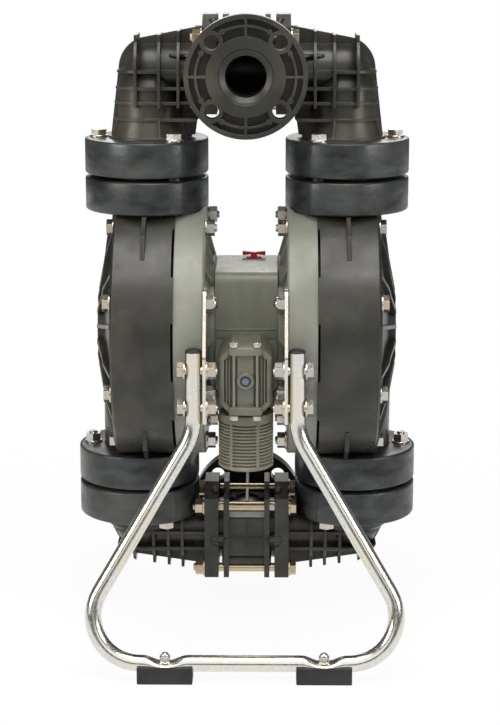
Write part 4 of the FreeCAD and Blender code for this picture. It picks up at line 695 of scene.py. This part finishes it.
class PUMP_OT_clamp_rings(Operator):
    """Eight thick clamp rings with rounded rims, dark parting beads that paint a thin line of crease shade,
    and spacers
    """
    bl_idname = "pump.clamp_rings"
    bl_label = "Clamp rings"

    def execute(self, context):
        fillet = sizes().ring_fillet
        for joint, side in JOINTS:
            for node, lower in ((joint + "_elbow_rings", side < 0), (joint + "_cap_rings", side > 0)):
                low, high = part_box(node)
                high.z -= lower * sizes().ring_relief
                centre = middle(joint + "_seat_right")
                radius = high.x - centre.x
                ring = as_mesh(clamp_ring, low.z, high.z, radius, fillet)
                # Each bead is a parting line, but it wears dark rubber, so its colour paints a thin line of
                # crease shade on the ring.
                seam = as_mesh(block, (-0.0012, -0.00045, low.z + fillet * 0.6),
                               (0.0003, 0.00045, high.z - fillet * 0.6), 0.0002)
                reach = Matrix.Translation((ring_reach(PARTING, radius), 0, 0))
                rings, seams = bmesh.new(), bmesh.new()
                for mirror in (-1, 1):
                    place = mirrored(mirror, centre)
                    add_moved(rings, ring, place)
                    for angle in (-PARTING, PARTING):
                        add_moved(seams, seam, place @ turned(angle) @ reach)
                finished(rings, node + "_moulded", "ring_plastic", [node])
                finished(seams, node + "_crease_shade_bead", "seal_rubber")
        self.spacers()
        return {"FINISHED"}

    def spacers(self):
        """Round bosses that fill the rings' gaps at the bolts."""
        bm = bmesh.new()
        for x, y, side, _ in ring_bolt_places():
            low, high = sorted(ring_faces(side)[1:3])
            boss = as_mesh(spun, rod(SPACER_R, low - 2 * sizes().ring_relief, high + 0.0005))
            add_moved(bm, boss, Matrix.Translation((x, y, 0)))
        finished(bm, "ring_spacers", "ring_plastic")


# Diaphragms

SECTORS = 10
ROLL_R = (0.084, 0.102, 0.120)
DIAPHRAGM_EDGE_R = 0.146
STUD_HOLE_R = 0.00905


class PUMP_OT_diaphragms(Operator):
    """Rubber diaphragms in sectors, clamped at the rim"""
    bl_idname = "pump.diaphragms"
    bl_label = "Diaphragms"

    def execute(self, context):
        for hand, side in HANDS:
            node = "diaphragm_" + hand
            low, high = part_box(node)
            inner = min(abs(low.x), abs(high.x))
            centre = middle(node)
            for index in range(SECTORS):
                angle = 2 * pi * index / SECTORS
                bm = bmesh.new()
                self.sector(bm, side, inner, angle)
                bmesh.ops.translate(bm, vec=(0, centre.y, centre.z), verts=bm.verts[:])
                piece = finished(bm, f"{node}_sector_{index}", "diaphragm_rubber", [node], body=None)
                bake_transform(piece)
        return {"FINISHED"}

    def profile(self, inner):
        """Cross-section as (radius, distance along the shaft) of the flat middle, the fold and the bead."""
        fold_in, top, fold_out = ROLL_R
        return [(radius, inner + rise) for radius, rise in (
            (STUD_HOLE_R, 0), (STUD_HOLE_R, 0.004), (fold_in, 0.004), (top - 0.011, 0.0124), (top, 0.016),
            (top + 0.011, 0.0124), (fold_out, 0.0035), (DIAPHRAGM_EDGE_R, 0.0035),
            (DIAPHRAGM_EDGE_R, 0.0005), (fold_out - 0.002, 0.0005), (top + 0.007, 0.0084), (top, 0.012),
            (top - 0.007, 0.0084), (fold_in, 0))]

    def sector(self, bm, side, inner, angle):
        """One closed wedge about the X axis, at an angle from the Z axis."""
        wedge = 2 * pi / SECTORS
        turn = Matrix.Rotation(angle - wedge / 2, 3, "X")
        verts, edges = loop(bm, [turn @ Vector((side * x, 0, radius)) for radius, x in self.profile(inner)])
        swept = bmesh.ops.spin(bm, geom=verts + edges, cent=(0, 0, 0), axis=(1, 0, 0), angle=wedge, steps=6,
                               use_merge=False, use_duplicate=False)["geom_last"]
        bm.faces.new(verts)
        bmesh.ops.contextual_create(bm, geom=only(swept, BMEdge))


# Muffler, air valve and centre body

MUFFLER_RIBS = (-123, -63, -3, 57, 117, 177)
COVER_CUT = 0.015
COVER_FRONT = 0.002
BUTTON_BOSS = [(0.0056, 0.004), (0.0113, 0.004), (0.0113, 0.0158), (0.0100, 0.0175), (0.0078, 0.0175),
               (0.0066, 0.0158), (0.0062, 0.0130), (0.0056, 0.0125), (0.0056, 0.004)]
VALVE_SCREW_X = 0.015
VALVE_SCREW_R = 0.0026
VALVE_SCREW_HEAD = (0.003, 0.010, 0.0048, 0.001)
LEDGES = ((0.3990, 0.4110, 0.0012), (0.4107, 0.4122, 0.0024))


class PUMP_OT_muffler(Operator):
    """Exhaust muffler with fine slots between upright ribs"""
    bl_idname = "pump.muffler"
    bl_label = "Muffler"

    def execute(self, context):
        low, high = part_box("muffler")
        centre = (low + high) / 2
        radius = (high.x - low.x) / 2
        slots, rim = sizes().slots, 0.006
        body_top, z = high.z - 0.005, low.z + rim
        pitch = (body_top - low.z - rim - 0.010) / slots
        deep, shallow = radius - 0.0042, radius - 0.0012
        profile = [(0, low.z), (radius - 0.003, low.z), (radius, low.z + 0.0022),
                   (radius, low.z + rim - 0.002), (radius - 0.0015, z)]
        for _ in range(slots):
            profile += [(shallow, z), (deep, z + 0.0003), (deep, z + pitch * 0.46),
                        (shallow, z + pitch * 0.52), (radius - 0.0008, z + pitch * 0.76),
                        (shallow, z + pitch)]
            z += pitch
        profile += [(radius - 0.0005, z), (radius - 0.0005, body_top - 0.001), (radius - 0.002, body_top),
                    (0.014, body_top), (0.014, high.z), (0, high.z)]
        bm = bmesh.new()
        spun(bm, profile, 96)
        rib = as_mesh(block, (radius - 0.006, -0.0022, low.z + 0.004),
                      (radius - 0.0004, 0.0022, body_top - 0.002), 0.0008)
        for angle in MUFFLER_RIBS:
            add_moved(bm, rib, turned(angle))
        bmesh.ops.translate(bm, vec=(centre.x, centre.y, 0), verts=bm.verts[:])
        finished(bm, "slotted_muffler", "muffler_grey", ["muffler"])
        return {"FINISHED"}


class PUMP_OT_valve_cover(Operator):
    """Octagonal air valve cover with its frame, ribs, panel and button"""
    bl_idname = "pump.valve_cover"
    bl_label = "Air valve cover"

    def execute(self, context):
        low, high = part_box("air_valve_cover")
        bm = bmesh.new()
        self.frame_plate(bm, low, high)
        self.bars(bm, low, high)
        self.panel(bm, low, high)
        finished(bm, "valve_cover_moulded", "valve_grey", ["air_valve_cover"])
        self.button()
        return {"FINISHED"}

    def frame_plate(self, bm, low, high):
        """Octagonal block with a rounded frame round a pocket."""
        left, right, base, top = low.x, high.x, low.z, high.z
        corners = [(left + COVER_CUT, base), (right - COVER_CUT, base), (right, base + COVER_CUT),
                   (right, top - COVER_CUT), (right - COVER_CUT, top), (left + COVER_CUT, top),
                   (left, top - COVER_CUT), (left, base + COVER_CUT)]
        made = raised(bm, [upright(bm, corners, high.y)], (0, low.y - high.y + COVER_FRONT, 0))
        edges = dict.fromkeys(edge for front in only(made, BMFace) for edge in front.edges)
        round_off(bm, list(edges), 0.004, 4)
        front = [f for f in bm.faces if all(abs(v.co.y - low.y - COVER_FRONT) < SAME_POINT for v in f.verts)]
        bmesh.ops.inset_region(bm, faces=front, thickness=0.0025, depth=0)
        bmesh.ops.inset_region(bm, faces=front, thickness=0.0012, depth=-0.009)

    def bars(self, bm, low, high):
        """Upright ribs beside the panel, and the thick bars round the long screws."""
        half = 0.0009
        for side in (-1, 1):
            for x, short in ((side * 0.0205, 0.012), (side * 0.0245, 0.014)):
                block(bm, (x - half, low.y + 0.004, low.z + short),
                      (x + half, high.y, high.z - short), 0.0004)
        for base, top in ((low.z + 0.0005, low.z + 0.0115), (high.z - 0.0115, high.z - 0.0005)):
            block(bm, (-0.0215, low.y - 0.0025, base), (0.0215, low.y + 0.009, top), 0.0025)

    def panel(self, bm, low, high):
        """Panel with arched ends and the button's boss."""
        arc = [(cos(angle), sin(angle)) for angle in [pi * step / 10 for step in range(11)]]
        back = high.y - 0.001
        half, base, bend = 0.0105, low.z + 0.008, high.z - 0.008 - 0.006
        outline = [(-half, base), (half, base)]
        outline += [(half * across, bend + 0.006 * rise) for across, rise in arc]
        prism(bm, outline, back, low.y + 0.005 - high.y, 0.001)
        half = 0.0125
        for sign, level in ((1, high.z), (-1, low.z)):
            arch = [(half * across, level - sign * (0.011 - 0.005 * rise)) for across, rise in arc]
            arch += [(x, level - sign * 0.004) for x in (-half, half)]
            prism(bm, arch, back, low.y + 0.0025 - high.y, 0.0008)
        boss = as_mesh(spun, BUTTON_BOSS, 48)
        stamp(bm, boss, (0, low.y + 0.0165, middle("reset_button").z), (0, -1, 0))

    def button(self):
        """Domed button that rides on its own body."""
        low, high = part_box("reset_button")
        radius, length = (high.x - low.x) / 2, high.y - low.y
        bm = bmesh.new()
        spun(bm, [(0, 0), (radius, 0), (radius, length - 0.0009), (radius * 0.9, length - 0.0003),
                  (radius * 0.55, length), (0, length)], 40)
        turn = Matrix.Translation((0, high.y, (low.z + high.z) / 2)) @ Matrix.Rotation(pi / 2, 4, "X")
        bmesh.ops.transform(bm, matrix=turn, verts=bm.verts[:])
        finished(bm, "domed_button", "button_blue", ["reset_button"], "button")


class PUMP_OT_valve_screws(Operator):
    """Two long screws in the cover's grooves"""
    bl_idname = "pump.valve_screws"
    bl_label = "Valve screws"

    def execute(self, context):
        low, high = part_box("valve_bolts")
        y = (low.y + high.y) / 2
        shank = as_mesh(spun, rod(VALVE_SCREW_R, 0, high.z - low.z - 0.011), 20)
        head = as_mesh(nut_stamp, *VALVE_SCREW_HEAD, 0.0)
        shanks, heads = bmesh.new(), bmesh.new()
        for x in (-VALVE_SCREW_X, VALVE_SCREW_X):
            stamp(shanks, shank, (x, y, low.z + 0.006))
            stamp(heads, head, (x, y, high.z - 0.006))
            stamp(heads, head, (x, y, low.z + 0.0065), (0, 0, -1))
        finished(shanks, "valve_screw_shanks", "plate_metal", smooth=FASTENER_SMOOTH)
        fastened(heads, "valve_screw_set", "valve_bolts")
        return {"FINISHED"}


class PUMP_OT_body_ledges(Operator):
    """Cast ledges across the front and back of the centre body"""
    bl_idname = "pump.body_ledges"
    bl_label = "Body ledges"

    def execute(self, context):
        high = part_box("center_body")[1]
        half = high.x - 0.0025
        bm = bmesh.new()
        for side in (-1, 1):
            wall = side * high.y
            for base, top, proud in LEDGES:
                near, far = sorted((wall - side * 0.002, wall + side * proud))
                block(bm, (-half, near, base), (half, far, top), 0.0005)
        finished(bm, "centre_body_ledges", "body_grey")
        return {"FINISHED"}


# Stand

TUBE_R = 0.0105
TUBE_X, KNEE_Z, CORNER_X = 0.0655, 0.300, 0.235
BEND_RADII = (0.070, 0.059)
FOOT_X, FOOT_Y = 0.1, 0.27
FOOT_LENGTH, FOOT_WIDTH = 0.070, 0.032
PRESSED_HALF = 0.029
STAND_BOLT_HEIGHTS = (0.333, 0.381)
STAND_BOLT_Y, STAND_BOLT_LENGTH, STAND_HEAD_X = 0.185, 0.035, 0.076
FOOT_PAD_R, FOOT_PAD_T, FOOT_NUT_ACROSS, FOOT_NUT_T = 0.0085, 0.0016, 0.013, 0.012


class PUMP_OT_stand(Operator):
    """Bent stainless loops pressed flat at the feet, with domed plugs and rubber blocks"""
    bl_idname = "pump.stand"
    bl_label = "Stand"

    def execute(self, context):
        low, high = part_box("stand_front")
        top = Vector((TUBE_X, high.y - TUBE_R, high.z))
        corner = Vector((CORNER_X, low.y + TUBE_R, low.z + TUBE_R))
        base = Vector((0, corner.y, corner.z))
        path = rounded_path([top, Vector((top.x, top.y, KNEE_Z)), corner, base], BEND_RADII)
        for end, flip in (("front", 1), ("rear", -1)):
            bm = bmesh.new()
            swept_tube(bm, frames_along(path), TUBE_R)
            self.press_feet(bm, base)
            bmesh.ops.mirror(bm, geom=bm.verts[:] + bm.edges[:] + bm.faces[:], axis="X", merge_dist=0.0001)
            bmesh.ops.scale(bm, vec=(1, flip, 1), verts=bm.verts[:])
            finished(bm, "stand_loop_" + end, "tube_steel", ["stand_" + end], smooth=60)
        self.plugs(top)
        self.feet()
        return {"FINISHED"}

    def press_feet(self, bm, base):
        """Dents the base tube from above where the foot bolts pass."""
        for vert in bm.verts:
            reach = abs(vert.co.x - FOOT_X) / PRESSED_HALF
            if reach >= 1 or abs(vert.co.z - base.z) > TUBE_R + 0.001:
                continue
            press = cos(reach * pi / 2) ** 2
            up = (vert.co.z - base.z) / TUBE_R
            if up > -0.4:
                vert.co.z -= press * TUBE_R * 0.85 * (up + 0.4) / 1.4
            vert.co.y = base.y + (vert.co.y - base.y) * (1 + 0.18 * press)

    def plugs(self, top):
        """Domed plugs in the tube ends."""
        profile = ((0, -0.004), (0.99, -0.004), (0.99, 0.0012), (0.93, 0.0026), (0.75, 0.0038), (0.4, 0.0048),
                   (0, 0.005))
        plug = as_mesh(spun, [(TUBE_R * share, height) for share, height in profile], 40)
        bm = bmesh.new()
        for x, y in four(top.x, top.y):
            stamp(bm, plug, (x, y, top.z))
        finished(bm, "domed_end_plugs", "seal_rubber", ["stand_end_plugs"])

    def feet(self):
        """Rubber blocks under the foot bolts."""
        low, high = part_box("rubber_feet")
        along, across = FOOT_LENGTH / 2, FOOT_WIDTH / 2
        bm = bmesh.new()
        for x in (-FOOT_X, FOOT_X):
            for y in (low.y + across, high.y - across):
                block(bm, (x - along, y - across, low.z), (x + along, y + across, high.z), 0.0016)
        finished(bm, "rubber_blocks", "seal_rubber", ["rubber_feet"])


class PUMP_OT_stand_fasteners(Operator):
    """Hex bolts and nuts of the stand, and the domed nuts on the feet"""
    bl_idname = "pump.stand_fasteners"
    bl_label = "Stand bolts and nuts"

    def execute(self, context):
        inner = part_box("stand_plates")[1].x - PLATE_T
        seats = [((side * STAND_HEAD_X, y, z), (side * inner, y, z), Vector((side, 0, 0)))
                 for z in STAND_BOLT_HEIGHTS for side, y in four(1, STAND_BOLT_Y)]
        bolted("stand", STAND_BOLT_LENGTH, seats, end=M12_END * 0.6)
        self.foot_nuts()
        return {"FINISHED"}

    def foot_nuts(self):
        """Domed nuts with washers that sit in the pressed tubes."""
        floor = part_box("foot_cap_nuts")[0].z
        domed, pad = as_mesh(cap_stamp, FOOT_NUT_ACROSS, FOOT_NUT_T), as_mesh(washer, FOOT_PAD_R, FOOT_PAD_T)
        bm = bmesh.new()
        for x, y in four(FOOT_X, FOOT_Y):
            stamp(bm, pad, (x, y, floor))
            stamp(bm, domed, (x, y, floor + FOOT_PAD_T))
        fastened(bm, "foot_nut_set", "foot_cap_nuts")


# Transport plug

GRIP_HALF, GRIP_DEEP = 0.0155, 0.0032


class PUMP_OT_inlet_plug(Operator):
    """Red plug with a bow-tie grip in the air inlet"""
    bl_idname = "pump.inlet_plug"
    bl_label = "Transport plug"

    def execute(self, context):
        low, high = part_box("air_inlet_plug")
        centre = (low + high) / 2
        seat = high.z - 0.0085
        bm = bmesh.new()
        shank = ((0.0104, 0.0003), (0.0100, 0.0008), (0.0045, 0.0010), (0.0040, 0.0045), (0, 0.0045))
        spun(bm, [(0, low.z), (0.0095, low.z), (0.0102, low.z + 0.001)]
             + [(radius, seat + rise) for radius, rise in shank], 48)
        grip = ((-GRIP_HALF, 0.0030), (0, 0.0044), (GRIP_HALF, 0.0030),
                (GRIP_HALF, 0.0085), (0, 0.0068), (-GRIP_HALF, 0.0085))
        prism(bm, [(x, seat + z) for x, z in grip], GRIP_DEEP, -2 * GRIP_DEEP, 0.0008)
        bmesh.ops.translate(bm, vec=(centre.x, centre.y, 0), verts=bm.verts[:])
        finished(bm, "bow_tie_plug", "plug_red", ["air_inlet_plug"], "inlet_plug")
        return {"FINISHED"}


# Manifold details

NECK_RIB_ANGLES = (28.0, 107.0)
NECK_TOP_R = 0.0448
NECK_SHELF_Z = 0.6805
MOUTH_R = 0.0359
THREAD_TAPER = 0.00965 / 0.0115
SKIRT_HALF = 0.0335


class PUMP_OT_manifold_details(Operator):
    """Thread in the port mouths, and the parting seams and skirts on the tees' plain sides"""
    bl_idname = "pump.manifold_details"
    bl_label = "Manifold details"

    def execute(self, context):
        ring = as_mesh(spun, self.thread_profile(), 72)
        for joint, side in JOINTS:
            tee, centre = joint + "_tee", port_height(joint)
            low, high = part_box(tee)
            port, plain = (low.y, high.y) if side > 0 else (high.y, low.y)
            threads, seams = bmesh.new(), bmesh.new()
            stamp(threads, ring, (0, port, centre), (0, -side, 0))
            finished(threads, tee + "_thread", "black_plastic")
            near, far = sorted((plain - side * 0.001, plain + side * 0.0006))
            for x, z in ((0.030, 0.0007), (0.0007, 0.022)):
                block(seams, (-x, near, centre - z), (x, far, centre + z), 0.0003)
            near, far = sorted((plain - side * 0.002, plain - side * 0.030))
            block(seams, (-SKIRT_HALF, near, centre - 0.0362), (SKIRT_HALF, far, centre - 0.0270), 0.002)
            finished(seams, tee + "_seams", "black_plastic")
        return {"FINISHED"}

    def thread_profile(self):
        """Closed profile of a tapered thread as (radius, height), with the face at 0."""
        wall = [(MOUTH_R - THREAD_TAPER * (depth + 0.0005), -depth)
                for depth in [0.0022 + 0.0009 * step for step in range(10)]]
        teeth = [(radius - (0.0011 if index % 2 else 0.0002), height)
                 for index, (radius, height) in enumerate(wall)]
        return teeth + [(radius + 0.0015, height) for radius, height in (wall[-1], wall[0])] + teeth[:1]


class PUMP_OT_neck_details(Operator):
    """Flat collars and upright ribs at the foot of the discharge elbows"""
    bl_idname = "pump.neck_details"
    bl_label = "Neck details"

    def execute(self, context):
        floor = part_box("discharge_elbow_rings")[1].z
        centre = middle("discharge_seat_right")
        profile = ((0.0500, -0.0005), (0.0550, -0.0005), (0.0555, 0), (0.0555, 0.0024), (0.0550, 0.0030),
                   (0.0500, 0.0030), (0.0500, -0.0005))
        collar = as_mesh(spun, [(radius, floor + rise) for radius, rise in profile], 96)
        rib = as_mesh(self.rib, floor)
        for hand, side in HANDS:
            bm = bmesh.new()
            place = mirrored(side, centre)
            add_moved(bm, collar, place)
            for angle in NECK_RIB_ANGLES:
                for face in (-1, 1):
                    add_moved(bm, rib, place @ turned(face * angle))
            finished(bm, "neck_collar_" + hand, "black_plastic")
        return {"FINISHED"}

    def rib(self, bm, floor):
        """One upright rib that leans with the neck's cone."""
        half = 0.0014
        outline = ((0.046, floor + 0.002), (0.0548, floor + 0.002), (NECK_TOP_R + 0.0025, NECK_SHELF_Z),
                   (0.038, NECK_SHELF_Z))
        prism(bm, outline, -half, 2 * half, 0.0004)


# The stage

FLOOR_SIZE = 4.0
LAMP_COLOUR = (1.0, 0.985, 0.945)
# Name, place, height of the target, size and power
LAMPS = (("key_box", (0.0, -0.7, 2.3), 0.45, 1.5, 36.0), ("left_box", (-1.7, -1.2, 1.1), 0.4, 1.0, 20.0),
         ("right_box", (1.7, -1.2, 1.1), 0.4, 1.0, 20.0), ("front_box", (0.0, -3.0, 2.1), 0.4, 2.4, 20.0),
         ("back_box", (0.0, 1.9, 1.6), 0.5, 1.4, 18.0))


def show_mixed(tree, output, factor, below, above):
    """Mixes two shaders into a tree's output node."""
    mix = add_node(tree, "MixShader", {"Fac": factor, 1: below, 2: above})
    feed(tree, tree.nodes[output], {"Surface": mix.outputs["Shader"]})


class PUMP_OT_stage(Operator):
    """Pale floor and backdrop, soft lamps and the camera"""
    bl_idname = "pump.stage"
    bl_label = "Studio and camera"

    def execute(self, context):
        context.scene.view_settings.view_transform = "Standard"
        self.lay_floor()
        self.light(context.scene)
        self.place_camera(context.scene)
        return {"FINISHED"}

    def lay_floor(self):
        """White floor that keeps the pump's shadow."""
        bm = bmesh.new()
        bmesh.ops.create_grid(bm, x_segments=1, y_segments=1, size=FLOOR_SIZE)
        floor = linked("studio_floor", as_data(bm, "studio_floor", False))
        material, tree, shader = new_material("studio_white")
        feed(tree, shader, {"Roughness": 0.9, "Base Color": (0.9, 0.9, 0.9, 1.0)})
        glow = add_node(tree, "Emission", {"Strength": 1.0})
        rays = add_node(tree, "LightPath").outputs
        seen = calculated(tree, "MAXIMUM", rays["Is Camera Ray"], rays["Is Glossy Ray"])
        seen = calculated(tree, "MAXIMUM", seen, rays["Is Transmission Ray"])
        place = add_node(tree, "TexCoord").outputs["Object"]
        reach = add_node(tree, "VectorMath", {0: place}, operation="LENGTH").outputs["Value"]
        share = calculated(tree, "MULTIPLY", seen, spread(tree, reach, (0.45, 1.1), (0.93, 1.0)))
        show_mixed(tree, "Material Output", share, shader.outputs["BSDF"], glow.outputs["Emission"])
        floor.data.materials.append(material)

    def light(self, scene):
        """White world and soft boxes."""
        world = bpy.data.worlds.new("studio")
        world.use_nodes = True
        tree = world.node_tree
        rays = add_node(tree, "LightPath").outputs
        ground = tree.nodes["Background"]
        bright = add_node(tree, "Background", {"Color": WHITE, "Strength": 1.0})
        soft = spread(tree, rays["Is Glossy Ray"], wanted=(0.16, 0.13))
        feed(tree, ground, {"Color": WHITE, "Strength": soft})
        seen = calculated(tree, "MAXIMUM", rays["Is Camera Ray"], rays["Is Transmission Ray"])
        show_mixed(tree, "World Output", seen, ground.outputs["Background"], bright.outputs["Background"])
        scene.world = world
        for name, place, target_z, size, power in LAMPS:
            data = bpy.data.lights.new(name, "AREA")
            data.size, data.energy, data.color = size, power, LAMP_COLOUR
            lamp = linked(name, data)
            lamp.location = place
            aim = Vector((0, 0, target_z)) - lamp.location
            lamp.rotation_euler = aim.to_track_quat("-Z", "Y").to_euler()

    def place_camera(self, scene):
        """Camera at the photograph's viewpoint."""
        s = sizes()
        data = bpy.data.cameras.new("photo_camera")
        data.sensor_width = SENSOR
        data.lens = s.camera_focal_px / IMAGE_SIZE[1] * SENSOR
        data.shift_x = (IMAGE_SIZE[0] / 2 - s.centre_px) / IMAGE_SIZE[1]
        camera = linked("photo_camera", data)
        camera.location = (s.camera_side, -s.camera_distance, s.camera_height)
        turn = atan2(s.camera_side, s.camera_distance)
        camera.rotation_euler = (pi / 2 - s.camera_pitch, 0.0, turn)
        scene.camera = camera


# Finishes, panel and registration


class PUMP_OT_finishes(Operator):
    """Makes the materials and puts them on the CAD nodes"""
    bl_idname = "pump.finishes"
    bl_label = "Finishes"

    def execute(self, context):
        materials = make_materials()
        for row in frame["record"]["subparts"]:
            node = NODES[row["node"]]
            node.data.materials.clear()
            node.data.materials.append(materials[row["material_slot"]])
        return {"FINISHED"}


class PUMP_PT_panel(Panel):
    """Pump tools in the 3D view's sidebar"""
    bl_label = "Diaphragm pump"
    bl_idname = "PUMP_PT_panel"
    bl_space_type = "VIEW_3D"
    bl_region_type = "UI"
    bl_category = "Pump"

    def draw(self, context):
        for step in STEPS:
            self.layout.operator(step.bl_idname)
        for group in (context.scene.pump_sizes, context.scene.pump_colours):
            for name in group.__annotations__:
                self.layout.prop(group, name)


STEPS = (PUMP_OT_finishes, PUMP_OT_clamp_rings, PUMP_OT_ring_fasteners, PUMP_OT_rim_fasteners,
         PUMP_OT_manifold_fasteners, PUMP_OT_manifold_details, PUMP_OT_neck_details, PUMP_OT_muffler,
         PUMP_OT_valve_cover, PUMP_OT_valve_screws, PUMP_OT_body_ledges, PUMP_OT_diaphragms,
         PUMP_OT_stand, PUMP_OT_stand_fasteners, PUMP_OT_inlet_plug, PUMP_OT_stage)
CLASSES = (PumpSizes, PumpColours, PUMP_PT_panel) + STEPS


def register():
    """Adds the classes and the scene's settings."""
    for item in CLASSES:
        bpy.utils.register_class(item)
    bpy.types.Scene.pump_sizes = bpy.props.PointerProperty(type=PumpSizes)
    bpy.types.Scene.pump_colours = bpy.props.PointerProperty(type=PumpColours)


def unregister():
    """Removes what register added."""
    del bpy.types.Scene.pump_sizes
    del bpy.types.Scene.pump_colours
    for item in reversed(CLASSES):
        bpy.utils.unregister_class(item)


def main():
    """Dresses the pump step by step."""
    register()
    bpy.ops.pump.finishes()
    bpy.ops.pump.clamp_rings()
    bpy.ops.pump.ring_fasteners()
    bpy.ops.pump.rim_fasteners()
    bpy.ops.pump.manifold_fasteners()
    bpy.ops.pump.manifold_details()
    bpy.ops.pump.neck_details()
    bpy.ops.pump.muffler()
    bpy.ops.pump.valve_cover()
    bpy.ops.pump.valve_screws()
    bpy.ops.pump.body_ledges()
    bpy.ops.pump.diaphragms()
    bpy.ops.pump.stand()
    bpy.ops.pump.stand_fasteners()
    bpy.ops.pump.inlet_plug()
    bpy.ops.pump.stage()


if __name__ == "__main__":
    main()
